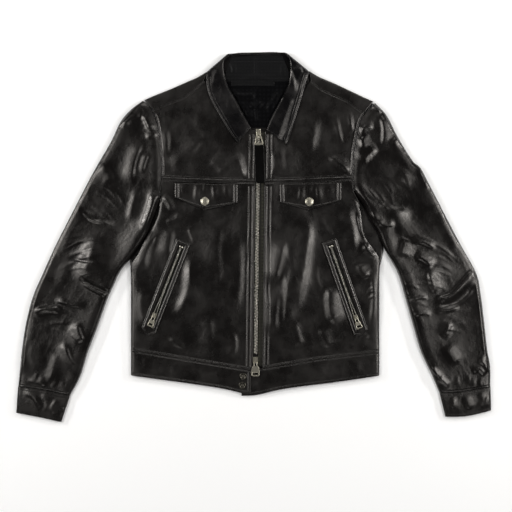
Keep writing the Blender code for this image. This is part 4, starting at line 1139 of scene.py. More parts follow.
class Back:
    """The back panel, the back half of the waistband, and the yoke that wraps over the shoulders."""

    def build(self) -> None:
        """Makes the three back pieces."""
        self.panel()
        self.band()
        self.yoke()

    def panel(self) -> None:
        """The back panel, flat where it lies."""
        holes = {}
        for side in ("left", "right"):
            line = line_through(ARMHOLE[side])
            line = line[line[:, 1] < BACK_YOKE_SEAM_Y]
            holes[side] = moved(line, -SEAM_GAP if side == "left" else SEAM_GAP)[2:]
        west, east = (np.vstack([BACK_LINE[side], holes[side], [(BACK_SEAM_END[side], BACK_YOKE_SEAM_Y)]])
                      for side in ("left", "right"))
        top = np.array([west[-1], east[-1]])
        plan = coons(line_through(BACK_HEM), top, west, east, 5.0, 3.0)
        relief = Relief(level(1.9), crumple_rise=0.25, seed=31)
        obj = relief.sheet("back_panel_leather", plan, SHELL, 1.8)
        dress(obj, "garment", "leather", "back_panel")

    def band(self) -> None:
        """The back half of the waistband."""
        low, high = line_through(BACK_BAND_BOTTOM), moved(line_through(BACK_HEM), -SEAM_GAP)
        plan = patch(low, high, 4.0, 2.5)
        relief = Relief(level(1.9), crumple_rise=0.2, seed=32)
        obj = relief.sheet("waistband_back_leather", plan, SHELL, 1.8)
        dress(obj, "garment", "leather", "waistband_back")

    def yoke(self) -> None:
        """Flat behind the neck; over each shoulder it turns forward to the shoulder seam."""
        seam_y = BACK_YOKE_SEAM_Y + SEAM_GAP
        for side in ("left", "right"):
            self.shoulder(side, seam_y)
        neck = at_lengths(line_through(BACK_NECK), np.linspace(0, 1, 49))
        depth = np.linspace(0, 1, 24)[:, None, None]
        foot = np.column_stack([neck[:, 0], np.full(len(neck), seam_y)])
        flat = foot[None] + (neck - foot)[None] * depth
        points = np.dstack([flat, np.full(flat.shape[:2], UNDER_MID + WALL / 2)])
        obj = grid_object("back_yoke_middle_leather", points, SHELL, WALL)
        dress(obj, "garment", "leather", "back_yoke")

    def shoulder(self, side: str, seam_y: float) -> None:
        """One shoulder of the yoke: flat below, round over the fold, and on to the front seam."""
        count = 60
        shares = np.linspace(0, 1, count)
        fold = at_lengths(line_through(SHOULDER_FOLD[side]), shares)
        seam = at_lengths(line_through(SHOULDER_SEAM[side]), shares)
        neck_end = np.array(BACK_NECK[0 if side == "left" else -1], float)
        inward = 1.2 if side == "left" else -1.2
        arm = line_through(ARMHOLE[side])
        arm = arm[(arm[:, 1] > BACK_YOKE_SEAM_Y) & (arm[:, 1] < 256)] + (inward, 0)
        rows = []
        for i, (f, s) in enumerate(zip(fold, seam)):
            end_z = float(front_height(s[None])[0]) - WALL / 2
            radius = (end_z - UNDER_MID) / 2
            way = (f - s) / np.linalg.norm(f - s)
            turn = f - way * (radius + 1.0)
            share = i / (count - 1)
            turn = turn + (neck_end - turn) * float(smooth(0.86, 1.0, share))
            foot = (np.array([BACK_SEAM_END[side], seam_y]) * (1 - share)
                    + np.array([neck_end[0], seam_y]) * share)
            straight = foot + (turn - foot) * np.linspace(0, 1, 24)[:, None]
            bent = at_lengths(np.vstack([foot, arm, turn]), np.linspace(0, 1, 24))
            flat = bent + (straight - bent) * min(1.0, share * 3)
            row = [(*p, UNDER_MID) for p in flat]
            for angle in np.linspace(-75, 90, 12):
                a = math.radians(angle)
                p = turn + way * radius * math.cos(a)
                row.append((*p, UNDER_MID + radius * (1 + math.sin(a))))
            end = s + way * SEAM_GAP
            for t in np.linspace(0.08, 1, 12):
                p = turn + (end - turn) * t
                row.append((*p, end_z + 0.5 * math.sin(t * math.pi)))
            rows.append(row)
        points = np.array(rows)
        obj = grid_object(f"back_yoke_shoulder_leather_{side}", points, SHELL, WALL, offset=0.0)
        self.face_up(obj)
        dress(obj, "garment", "leather", "back_yoke")

    @staticmethod
    def face_up(obj: bpy.types.Object) -> None:
        """Turns the open sheet's faces so that the top layer faces up."""
        with edited(obj.data) as bm:
            bm.faces.ensure_lookup_table()
            high = max(bm.faces, key=lambda face: face.calc_center_median().z)
            if high.normal.z < 0:
                bmesh.ops.reverse_faces(bm, faces=bm.faces)


class Waistband:
    """The front halves of the waistband: the left one closes over the right one's tab."""

    def __init__(self, sewing: Stitcher) -> None:
        """Takes who sews it."""
        self.sewing = sewing

    @staticmethod
    def height(side: str) -> Height:
        """The band's height; it lies lower over the tab's end."""
        def at(places: np.ndarray) -> np.ndarray:
            z = front_height(places)
            x = places[:, 0]
            if side == "left":
                return z + (7.4 - z) * smooth(-46, -28, x)
            return z + (4.4 - z) * (1 - smooth(-3, 18, x))
        return at

    def build(self) -> None:
        """Makes both halves."""
        for side in ("left", "right"):
            left = side == "left"
            top, bottom = line_through(BAND_TOP[side]), line_through(BAND_BOTTOM[side])
            if left:
                top = np.vstack([top[top[:, 0] < BAND_END], [(BAND_END, -256.0)]])
            else:
                top = np.vstack([[(TAB_END, -262), (0, -257)], top])
            plan = patch(bottom, top, 1.8)
            even = np.linspace(0.02, 0.985, 60)
            rows = [moved(at_lengths(top, even), -4.6), moved(at_lengths(bottom, even), 4.6)]
            if left:
                rows.append(np.array([(BAND_END - 5, -262.0), (BAND_END - 5, -298.0)]))
            folds = [Fold([(x, y), (x + 4, y - 26)], 7, 0.6)
                     for x, y in ((-210, -232), (-156, -242), (-70, -256), (60, -258), (128, -246),
                                  (196, -236))]
            relief = Relief(self.height(side), folds, rows, crumple_way=90, crumple_rise=0.3,
                            seed=41 if left else 42, drape_rise=0.3)
            obj = relief.sheet(f"waistband_leather_{side}", plan, SHELL)
            for row in rows:
                self.sewing.follow(relief, row)
            dress(obj, "garment", "leather", f"waistband_{side}")


# ---- Sleeves -----------------------------------------------------------------------------------------
SLEEVE_FOLDS = {
    "left": [
        Fold([(-254, 206), (-238, 226), (-212, 236)], 10, 3.2, 0.5),
        Fold([(-214, 238), (-205, 220), (-196, 200)], 7, 2.4),
        Fold([(-208, 189), (-195, 194), (-183, 199)], 5.5, 1.4),
        Fold([(-238, 96), (-229, 146), (-212, 190)], 12, 3.6, 0.5),
        Fold([(-216, 120), (-210, 142), (-202, 164)], 7, 2.4),
        Fold([(-268, 100), (-280, 122), (-296, 142)], 12, 2.4, 0.4),
        Fold([(-190, 92), (-199, 50), (-216, 8)], 10, 4.2, 0.5),
        Fold([(-222, 96), (-232, 60), (-240, 24)], 12, 2.0),
        Fold([(-330, 40), (-300, 30), (-262, 22)], 6, -2.0, fade=0.4),
        Fold([(-336, 58), (-316, 36), (-288, 22)], 5, -2.2, fade=0.4),
        Fold([(-330, -98), (-314, -46), (-297, 8)], 27, 6.2, -0.45, 0.35),
        Fold([(-372, -96), (-364, -72), (-360, -44)], 15, 1.2, 0.4),
        Fold([(-360, -42), (-330, -47), (-300, -50)], 3.5, -1.9, fade=0.4),
        Fold([(-336, -80), (-306, -97), (-272, -112)], 3.2, -3.2, fade=0.2),
        Fold([(-334, -88), (-304, -105), (-276, -118)], 4.5, 2.0),
        Fold([(-424, -146), (-400, -138), (-366, -140)], 7, 3.8, -0.5),
        Fold([(-384, -120), (-352, -130), (-320, -134)], 6, 2.2),
        Fold([(-383, -26), (-398, -60), (-412, -100)], 9, 2.2),
        Fold([(-445, -190), (-448, -232), (-447, -268)], 8, 3.0),
        Fold([(-326, -206), (-336, -184), (-340, -164)], 9, 3.2, 0.4),
        Fold([(-366, -200), (-352, -238), (-334, -252)], 8, 2.8, -0.4),
        Fold([(-376, -220), (-384, -252), (-392, -284)], 12, 1.7),
        Fold([(-436, -276), (-420, -280), (-396, -286)], 5, 2.0),
        Fold([(-420, -200), (-424, -236), (-412, -262)], 14, 1.3),
        Fold([(-404, -60), (-420, -110), (-432, -160)], 8, 1.8),
        *ripples((-328, -40), 8, 84, 9, 9, 0.8, seed=3),
        *ripples((-372, -160), -14, 90, 11, 6, 0.5, seed=4),
        *ripples((-284, 64), -38, 78, 13, 5, 0.55, seed=5),
        *ripples((-204, 214), 30, 34, 8, 3, 0.4, seed=6),
        *ripples((-390, -278), 70, 26, 14, 5, 0.7, seed=7),
    ],
    "right": [
        Fold([(224, 250), (234, 248), (248, 238)], 6, 2.6),
        Fold([(203, 201), (216, 209), (232, 212)], 6.5, 2.2, 0.3),
        Fold([(204, 192), (209, 182), (213, 168)], 8, 2.2),
        Fold([(244, 238), (251, 206), (249, 168)], 9, 3.2, 0.5),
        Fold([(262, 172), (276, 186), (294, 192)], 9, 2.8, -0.4),
        Fold([(240, 172), (224, 160), (206, 140)], 11, 2.8, -0.5),
        Fold([(296, 128), (286, 112), (280, 96)], 14, 2.2),
        Fold([(200, 104), (220, 70), (262, 52), (306, 40)], 15, 4.4, -0.5, 0.3),
        Fold([(236, 26), (254, 22), (274, 24)], 7, 2.2),
        Fold([(318, 136), (326, 116), (338, 90)], 9, 2.6),
        Fold([(222, 42), (234, 34), (246, 20)], 5, 2.2),
        Fold([(284, -42), (288, -20), (294, -2)], 13, 3.4, -0.5),
        Fold([(300, -14), (324, -10), (352, -24)], 6, 3.0, 0.3),
        Fold([(308, -36), (330, -46), (344, -60)], 7, 3.0),
        Fold([(336, -62), (342, -88), (350, -112)], 8, 3.8, 0.4),
        Fold([(348, -118), (374, -116), (400, -92), (426, -62)], 8, 5.4, -0.6, 0.2),
        Fold([(352, -132), (382, -130), (410, -112), (424, -88)], 9, -3.0, fade=0.25),
        Fold([(346, -146), (372, -142), (398, -134)], 5, 2.4),
        Fold([(300, -124), (320, -118), (336, -120)], 4, 2.2),
        Fold([(306, -152), (326, -148), (342, -152)], 4, 2.0),
        Fold([(364, -196), (372, -180), (374, -160)], 10, 2.4, 0.4),
        Fold([(428, -70), (440, -130), (449, -186), (452, -240)], 7, 2.8, -0.3, 0.2),
        Fold([(338, -252), (348, -262), (358, -272)], 5, 3.0),
        Fold([(352, -268), (366, -280), (378, -290)], 5, 2.4),
        Fold([(430, -236), (444, -246), (450, -262)], 6, 2.6),
        Fold([(420, -262), (434, -256), (446, -268)], 5, 2.4),
        Fold([(366, -208), (380, -232), (392, -250)], 13, 2.4),
        Fold([(268, 60), (284, 20), (288, -10)], 15, 1.8),
        Fold([(352, 46), (372, 10), (396, -26)], 12, 2.0),
        *ripples((312, -120), 8, 44, 9, 7, 1.0, seed=13),
        *ripples((352, -64), -22, 74, 10, 8, 0.9, seed=14),
        *ripples((380, -168), 6, 62, 12, 4, 0.7, seed=15),
        *ripples((260, 88), -52, 62, 11, 7, 0.8, seed=16),
        *ripples((214, 206), -14, 30, 7, 4, 0.4, seed=17),
        *ripples((404, -274), 84, 26, 15, 6, 0.7, seed=18),
    ],
}
CUFF_FOLDS = {
    "left": [
        Fold([(-446, -300), (-424, -308), (-408, -334)], 7, 1.8),
        Fold([(-377, -312), (-388, -330), (-383, -345)], 5.5, 1.5),
        Fold([(-412, -302), (-398, -318), (-400, -340)], 7, 1.2),
    ],
    "right": [
        Fold([(433, -298), (441, -316), (429, -332)], 7, 1.7),
        Fold([(406, -304), (412, -320), (420, -334)], 8, 1.7),
        Fold([(452, -304), (448, -318), (446, -330)], 5.5, 1.0),
        Fold([(382, -308), (384, -318), (382, -332)], 5, 1.4),
    ],
}


class Sleeve:
    """A sleeve: a rolled upper piece on a flat under piece, with its cuff."""

    REACH = 10.0             # how far the rolled edge takes to reach its height, mm
    FULL = 11.0              # height of the upper piece over the under piece, mm
    LEANS = {"left": ((-38, 42, 2.0), (118, 50, 2.0)),
             "right": ((72, 44, -6.0), (-70, 36, 4.0))}

    def __init__(self, side: Side, sewing: Stitcher) -> None:
        """Takes the side and who sews it."""
        self.side = side
        self.key = side.value
        self.left = side is Side.LEFT
        self.sewing = sewing

    def top_height(self, places: np.ndarray) -> np.ndarray:
        """The upper piece: low round both folded edges, highest just inside them, a little sunk between."""
        outer, inner = self.from_edges(places)
        d = np.minimum(outer, inner)
        low = UNDER_MID + SLEEVE_LIFT * over_back(self.key, places) + 0.6
        y = places[:, 1]
        cuff = 1 - smooth(-292, -190, y)
        full = self.FULL - 3.0 * cuff - 1.5 * smooth(190, 262, y)
        ridge = 0.5 * np.exp(-((d - 15) / 8) ** 2)
        dip = 0.6 * smooth(24, 52, d) * (1 - cuff)
        seam = nearest(line_through(ARMHOLE[self.key]), places)[0]
        sunk = 1.9 * np.exp(-(seam / 7) ** 2) - 0.7 * np.exp(-((seam - 14) / 10) ** 2)
        body = rolled(d, self.REACH, 2.5)
        shoulder = smooth(96, 150, y)
        beside = np.where(shoulder > 0, seam + 6, inner)
        flat_seam = rolled(np.minimum(outer, beside), self.REACH, 2.5)
        body = np.where(y > 96, body * (1 - shoulder)
                        + np.minimum(rolled(outer, self.REACH, 2.5), flat_seam) * shoulder, body)
        across = outer / (outer + inner + 1e-6) - 0.5
        lean = sum(rise * np.exp(-((y - at) / reach) ** 2) for at, reach, rise in self.LEANS[self.key])
        return low + (full + ridge - dip + lean * across) * body - sunk * body * smooth(60, 110, y)

    def loose(self, places: np.ndarray) -> np.ndarray:
        """0 on the folded edges and 1 from a little inside them."""
        return smooth(0, 9, np.minimum(*self.from_edges(places)))

    def from_edges(self, places: np.ndarray) -> tuple[np.ndarray, np.ndarray]:
        """Distance from the outer and from the inner folded edge."""
        return nearest(OUTER_LINE[self.key], places)[0], nearest(INNER_LINE[self.key], places)[0]

    def build(self) -> None:
        """Makes the sleeve."""
        hole = moved(line_through(ARMHOLE[self.key])[::-1], self.side.out)
        seam = moved(line_through(CUFF[self.key]["seam"]), -SEAM_GAP * self.side.out)
        outer, inner = OUTER_LINE[self.key], INNER_LINE[self.key]
        if self.left:
            west, east, low, high = outer, inner, seam, hole
        else:
            west, east, low, high = inner, outer, seam[::-1], hole[::-1]
        low = np.vstack([west[:1], low[1:-1], east[:1]])
        high = np.vstack([west[-1:], high[1:-1], east[-1:]])
        self.top_piece(low, high, west, east)
        self.under_piece(low, high, west, east)
        self.cuff()

    def top_piece(self, low: np.ndarray, high: np.ndarray, west: np.ndarray, east: np.ndarray) -> None:
        """The upper piece inside its four lines, with one row of stitches over the cuff."""
        plan = coons(low, high, west, east, 2.0)
        hem = moved(at_lengths(low, np.linspace(0.05, 0.95, 24)), 2.6)
        relief = Relief(self.top_height, SLEEVE_FOLDS[self.key], [hem],
                        crumple_way=60 if self.left else 118, crumple_rise=0.35,
                        seed=51 if self.left else 52, drape_rise=1.0, loose=self.loose)
        obj = relief.sheet(f"sleeve_top_leather_{self.key}", plan, SLEEVE_HIDE)
        fine = at_lengths(hem, np.linspace(0, 1, 20))
        self.sewing.sew(fine, relief.heights(fine))
        dress(obj, "garment", "leather", f"sleeve_top_{self.key}")

    def under_piece(self, low: np.ndarray, high: np.ndarray, west: np.ndarray, east: np.ndarray) -> None:
        """The flat piece under it, a little inside the same four lines."""
        under_west, under_east = moved(west, -3.4), moved(east, 3.4)
        low = np.vstack([under_west[:1], low[1:-1], under_east[:1]])
        high = np.vstack([under_west[-1:], high[3:-3], under_east[-1:]])
        plan = coons(low, high, under_west, under_east, 4.5, 3.0)
        flat = Relief(lambda p: UNDER_MID + 0.8 + SLEEVE_LIFT * over_back(self.key, p),
                      crumple_rise=0.25, seed=53)
        under = flat.sheet(f"sleeve_under_leather_{self.key}", plan, SLEEVE_HIDE)
        dress(under, "garment", "leather", f"sleeve_under_{self.key}")

    def cuff(self) -> None:
        """The cuff: a flat tube, round at both folds, stitched twice at its seam and once at its hem."""
        seam = moved(line_through(CUFF[self.key]["seam"]), SEAM_GAP * self.side.out)
        hem = line_through(CUFF[self.key]["hem"])
        across = np.linspace(0, 1, 56)
        tops, lows = at_lengths(seam, across), at_lengths(hem, across)
        span = np.linalg.norm(lows - tops, axis=1)[:, None]
        lines = [tops + (lows - tops) / span * d for d in (2.2, 6.6)] + [lows + (tops - lows) / span * 5.0]
        rows, stitch = [], []
        rounds = np.linspace(-80, 80, 9)
        for v in np.linspace(0, 1, 26):
            line = tops + (lows - tops) * v
            way = (line[-1] - line[0]) / np.linalg.norm(line[-1] - line[0])
            puff = 1.3 * math.sin(min(v, 1 - v) * math.pi) + 0.2
            high, low = 6.2 + puff, 0.9
            inner = line[2:-2]
            bumps = (folded(CUFF_FOLDS[self.key], inner)
                     + 0.35 * (crumple(inner, 90, 61 if self.left else 62) - 0.3))
            ring = [(p[0], p[1], high + b) for p, b in zip(inner, bumps)]
            ring += self.bend(line[-1], -way, rounds[::-1], low, high)
            ring += [(p[0], p[1], low) for p in inner[::-1]]
            ring += self.bend(line[0], way, rounds, low, high)
            rows.append(ring)
            near = stitch_distance(lines, np.array(ring)[:, :2])
            near[len(inner):] = FAR
            stitch.append(near)
        points = np.array(rows)
        obj = grid_object(f"cuff_leather_{self.key}", points, SHELL, 1.5, np.array(stitch), ring=True)
        top_layer = points[:, :len(across) - 4].reshape(-1, 3)
        for line in lines:
            fine = at_lengths(line[3:-3], np.linspace(0, 1, 24))
            self.sewing.sew(fine, heights_near(top_layer, fine) + 0.1)
        dress(obj, "garment", "leather", f"cuff_{self.key}")

    @staticmethod
    def bend(end: np.ndarray, inward: np.ndarray, angles: np.ndarray, low: float,
             high: float) -> list[tuple[float, float, float]]:
        """Round one folded edge of the cuff, between the heights of its two layers."""
        middle, radius = (high + low) / 2, (high - low) / 2
        points = []
        for angle in angles:
            a = math.radians(angle)
            p = end + inward * radius * (1 - math.cos(a)) * 1.3
            points.append((p[0], p[1], middle + radius * math.sin(a)))
        return points


# ---- Collar and neck ---------------------------------------------------------------------------------
COLLAR_FOLDS = [
    Fold([(-84, 262), (-60, 268), (-36, 272)], 8, 0.6, 0.3),
    Fold([(-66, 236), (-50, 240), (-34, 246)], 10, 0.5),
    Fold([(44, 270), (60, 266), (84, 262)], 8, 1.0),
    Fold([(84, 240), (72, 212), (60, 186)], 8, 1.5),
    Fold([(72, 330), (82, 306), (88, 278)], 9, 2.4),
    Fold([(-66, 330), (-74, 306), (-76, 286)], 8, 1.1),
]
STAND_FOLDS = [
    Fold([(5.5, 298), (5, 330), (4, 350)], 2.5, 1.0),
    Fold([(-48, 336), (-40, 326), (-38, 312)], 5, 1.6),
    Fold([(-30, 300), (6, 306), (40, 300)], 4, 1.2),
    Fold([(60, 338), (56, 322), (52, 308)], 6, 1.2),
]
LINING_FOLDS = [
    Fold([(4, 296), (3, 262), (5, 222)], 2.2, -0.9, fade=0.05),
    Fold([(-48, 282), (-22, 268), (14, 276)], 6, 2.3),
    Fold([(50, 286), (40, 262), (22, 240)], 8, 2.3),
    Fold([(-12, 256), (2, 250), (22, 258)], 5, 2.2),
    Fold([(-34, 262), (-16, 244), (-4, 226)], 7, 2.0),
]


class Collar:
    """One strip: a leaf on each front, turned at the shoulders into the fall behind the neck."""

    ACROSS = 30

    def __init__(self, sewing: Stitcher) -> None:
        """Takes who sews it."""
        self.sewing = sewing

    def leaf_height(self, places: np.ndarray) -> np.ndarray:
        """A leaf's height over the front under it."""
        return LEAF_MID + 2.2 - 1.8 * near_zip(places) - 1.6 * smooth(250, 310, places[:, 1])

    def section(self, roll: np.ndarray, edge: np.ndarray, lip: float, leaf: bool,
                left: bool = False) -> np.ndarray:
        """One line across the collar.

        Args:
            roll: Its end on the roll line, mm.
            edge: Its end on the free edge, mm.
            lip: How far the collar dips at its roll line, mm.
            leaf: Whether it belongs to a leaf, and not to the fall behind the neck.
            left: Whether the leaf is the left one.

        Returns:
            Rows of x, y, z.
        """
        shares = np.linspace(0, 1, self.ACROSS)
        line = roll + (edge - roll) * shares[:, None]
        width = np.linalg.norm(edge - roll)
        d = shares * width
        if leaf:
            inwards = width - d
            crown = (0.7 * np.exp(-((d - 12) / 9) ** 2) if left
                     else 3.0 * np.exp(-((inwards - 11) / 7.5) ** 2))
            crown = crown - lip * (1 - rolled(d, 5, 2.4))
            rim = ((0.4 if left else 0.9) * np.exp(-((inwards - 4.5) / 3) ** 2)
                   - 0.9 * (1 - rolled(inwards, 3.0)))
            z = self.leaf_height(line) + crown + rim
        else:
            z = np.full(len(line), FALL_MID) + lip * (1 - rolled(d, 10))
        return np.column_stack([line, z])

    def turn(self, roll: np.ndarray, edge: np.ndarray, inward: np.ndarray) -> list[np.ndarray]:
        """Where the collar turns from the front, over its own fold, to behind the neck."""
        rows = []
        half, middle = (LEAF_MID - FALL_MID) / 2, (LEAF_MID + FALL_MID) / 2
        shares = np.linspace(0, 1, self.ACROSS)
        for angle in np.linspace(0, 180, 15):
            a = math.radians(angle)
            line = roll + (edge - roll) * shares[:, None] + inward * half * (1 - math.sin(a))
            rows.append(np.column_stack([line, np.full(len(line), middle + half * math.cos(a))]))
        return rows

    def leaf(self, side: Side) -> list[np.ndarray]:
        """The lines across a leaf, from its point to the shoulder, where it levels out."""
        key = side.value
        steps = np.linspace(0, 1, 91)[:-1]
        rows = []
        for roll, edge, share in zip(at_lengths(line_through(COLLAR_ROLL[key]), steps),
                                     at_lengths(line_through(COLLAR_EDGE[key]), steps), steps):
            lip = 3.0 * float((1 - smooth(0.75, 0.97, share)) * smooth(-0.1, 0.25, share))
            row = self.section(roll, edge, lip, True, side is Side.LEFT)
            fade = float(smooth(0.9, 1.0, share))
            row[:, 2] = row[:, 2] * (1 - fade) + LEAF_MID * fade
            rows.append(row)
        return rows

    def fall(self) -> list[np.ndarray]:
        """The lines across the fall behind the neck, from left to right."""
        steps = np.linspace(0, 1, 61)[1:-1]
        rows = []
        for roll, edge, share in zip(at_lengths(line_through(ROLL_BACK), steps),
                                     at_lengths(line_through(FALL_EDGE), steps), steps):
            lip = 3.2 * float(smooth(0.05, 0.25, share) * smooth(0.05, 0.25, 1 - share))
            rows.append(self.section(roll, edge, lip, False))
        return rows

    def seams(self, leaves: dict[Side, list[np.ndarray]]) -> list[np.ndarray]:
        """Two rows of stitches along each leaf's free edge and one across its front end."""
        lines = []
        for side, leaf in leaves.items():
            rim = np.array([row[-1, :2] for row in leaf])
            front = at_lengths(leaf[0][:, :2], np.linspace(0.1, 0.9, 12))
            near, far = 2.4, 7.2
            lines += [moved(rim, side.out * near)[4:-4], moved(front, side.out * near),
                      moved(rim, side.out * far)[4:-4]]
        return lines

    def build(self) -> None:
        """Makes the collar."""
        leaves = {side: self.leaf(side) for side in Side}
        turns = {}
        for side in Side:
            roll, edge = np.array(COLLAR_ROLL[side.value][-1]), np.array(COLLAR_EDGE[side.value][-1])
            way = (edge - roll) / np.linalg.norm(edge - roll)
            turns[side] = self.turn(roll, edge, np.array([way[1], -way[0]]) * side.out)
        rows = (leaves[Side.LEFT] + turns[Side.LEFT] + self.fall()
                + turns[Side.RIGHT][::-1] + leaves[Side.RIGHT][::-1])
        points = np.array(rows)
        places = points[..., :2].reshape(-1, 2)
        extra = folded(COLLAR_FOLDS, places) + 0.4 * (crumple(places, 70, 71) - 0.3)
        high = points[..., 2].reshape(-1) > 6.5
        points[..., 2] += (extra * high).reshape(points.shape[:2])
        lines = self.seams(leaves)
        stitch = stitch_distance(lines, places)
        stitch = np.where(high, stitch, FAR).reshape(points.shape[:2])
        obj = grid_object("collar_leather", points, COLLAR_HIDE, COLLAR_WALL, stitch, offset=0.0)
        Back.face_up(obj)
        flat = points.reshape(-1, 3)[high]
        for line in lines:
            fine = at_lengths(line, np.linspace(0, 1, max(8, round(length_of(line) / 5))))
            self.sewing.sew(fine, heights_near(flat, fine) + COLLAR_WALL / 2 + 0.1)
        dress(obj, "garment", "collar_leather", "collar")


class NeckInside:
    """What shows inside the neck: stand, strip and lining."""

    def build(self) -> None:
        """Makes the three pieces."""
        low, high = line_through(STAND_LOW), line_through(STAND_HIGH)
        plan = patch(low, high, 2.5)
        seam = np.array([(6, 300.0), (5, 350.0)])
        ribs = [at_lengths(line_through([(-58, 306 + 8 * k), (8, 305.5 + 8.2 * k), (70, 306 + 8 * k)]),
                           np.linspace(0, 1, 30)) for k in range(5)]
        relief = Relief(lambda p: 4.4 + 0.8 * smooth(297, 306, p[:, 1]), STAND_FOLDS, [seam, *ribs],
                        crumple_way=0, crumple_rise=0.5, seed=81)
        obj = relief.sheet("collar_stand_cloth", plan, STAND_CLOTH, 1.0)
        dress(obj, "garment", "lining", "collar_stand")

        low, high = np.array([(-43, 290.0), (40, 290.0)]), np.array([(-43, 299.8), (40, 299.8)])
        strip = patch(low, high, 1.6)
        relief = Relief(level(4.5), crumple_rise=0.3, seed=82)
        obj = relief.sheet("neck_strip_cloth", strip, STAND_CLOTH, 0.8)
        dress(obj, "garment", "lining", "neck_strip")

        west = line_through([(-8, 210), (-40, 236), (-62, 270), (-58, 303)])
        east = line_through([(26, 210), (60, 236), (80, 270), (74, 303)])
        plan = coons(np.array([west[0], east[0]]), np.array([west[-1], east[-1]]), west, east, 2.0, 1.6)
        relief = Relief(level(3.0), LINING_FOLDS, crumple_rise=0.5, seed=83)
        obj = relief.sheet("neck_lining_cloth", plan, LINING, 0.8)
        dress(obj, "garment", "lining", "neck_lining")


# ---- Pockets -----------------------------------------------------------------------------------------
class ChestPocket:
    """A pointed flap under the chest seam with a snap in its point."""

    # Soft folds that hang from the seam: place as a share of its length, lean, width, rise and drop, mm.
    DROPS = ((0.12, 2, 6, 0.8, 30), (0.36, -4, 6, 1.5, 42), (0.48, -1, 5, 1.0, 26),
             (0.61, 4, 6, 1.5, 40), (0.8, 3, 6, 0.9, 34))

    def __init__(self, side: Side, sewing: Stitcher) -> None:
        """Takes the side and who sews it."""
        self.key = side.value
        self.sewing = sewing

    def height(self, places: np.ndarray) -> np.ndarray:
        """The flap's outer face, over the front."""
        outline = np.array(FLAP[self.key], float)
        rim = nearest(outline, places)[0]
        return front_height(places) + 4.4 - 1.7 * (1 - rolled(rim, 3.0))

    def build(self) -> None:
        """Makes the flap."""
        top_out, low_out, tip, low_in, top_in = np.array(FLAP[self.key], float)
        low = np.vstack([np.linspace(low_out, tip, 12), np.linspace(tip, low_in, 12)[1:]])
        high = np.linspace(top_out, top_in, 23)
        plan = patch(low, high, 1.4)
        ring = np.array([top_out, low_out, tip, low_in, top_in])
        middle = ring.mean(axis=0)
        inner = middle + (ring - middle) * (1 - 6.0 / np.linalg.norm(ring - middle, axis=1)[:, None] * 1.25)
        inner[0][1], inner[-1][1] = top_out[1] - 0.5, top_in[1] - 0.5
        rows = [at_lengths(inner[i:i + 2], np.linspace(0.0, 1, 16)) for i in range(4)]
        x0, x1 = sorted((top_out[0], top_in[0]))
        folds = []
        for share, lean, width, rise, drop in self.DROPS:
            x, y = x0 + (x1 - x0) * share, top_out[1] + 4
            folds.append(Fold([(x, y), (x + lean, y - drop)], width, rise, 0.3, 0.45))
        relief = Relief(self.height, folds, rows, crumple_way=90, crumple_rise=0.4,
                        seed=91 if self.key == "left" else 92)
        obj = relief.sheet(f"flap_leather_{self.key}", plan, SHELL, 2.4)
        for row in rows:
            self.sewing.sew(row, relief.heights(row))
        dress(obj, "garment", "leather", f"flap_{self.key}")
        x, y = FLAP_SNAP[self.key]
        z = float(relief.heights(np.array([[x, y]]))[0])
        snap = Snap(*FLAP_CAP, NICKEL).build(f"flap_snap_cap_{self.key}", (x, y, z - 0.4))
        dress(snap, "garment", "nickel", f"flap_snap_{self.key}")


@dataclass(frozen=True)
class Snap:
    """A turned snap cap: a domed face inside a rolled rim.

    Args:
        radius: Of the cap, mm.
        height: Of the rim, mm.
        finish: Its metal.
        ring: Whether the middle is a dark well inside the rim.
    """

    radius: float
    height: float
    finish: Finish
    ring: bool = False

    def outline(self) -> list[tuple[float, float]]:
        """Radius and height of the turned outline, from the middle outwards."""
        r, h = self.radius, self.height
        if self.ring:
            return [(0.0, h * 0.55), (r * 0.26, h * 0.52), (r * 0.34, h * 0.25), (r * 0.52, h * 0.22),
                    (r * 0.6, h * 0.8), (r * 0.72, h), (r * 0.88, h * 0.92), (r, h * 0.4), (r, 0.0)]
        return [(0.0, h), (r * 0.3, h * 0.98), (r * 0.55, h * 0.9), (r * 0.72, h * 0.76), (r * 0.78, h * 0.7),
                (r * 0.84, h * 0.78), (r * 0.93, h * 0.66), (r, h * 0.32), (r, 0.0)]

    def build(self, name: str, place: tuple[float, float, float]) -> bpy.types.Object:
        """The cap standing at a place, mm."""
        steps = 40
        mesh = bpy.data.meshes.new(name)
        with edited(mesh) as bm:
            rings = []
            for r, z in self.outline():
                turns = [math.tau * k / steps for k in range(steps if r else 1)]
                ring = [Vector((place[0] + r * math.cos(a), place[1] + r * math.sin(a), place[2] + z))
                        for a in turns]
                rings.append([bm.verts.new(at * MM) for at in ring])
            for k in range(steps):
                n = (k + 1) % steps
                bm.faces.new((rings[0][0], rings[1][k], rings[1][n]))
                for low, high in zip(rings[1:], rings[2:]):
                    bm.faces.new((low[k], high[k], high[n], low[n]))
            bm.faces.new(rings[-1][::-1])
            bmesh.ops.recalc_face_normals(bm, faces=bm.faces)
        return make_object(name, mesh, self.finish)


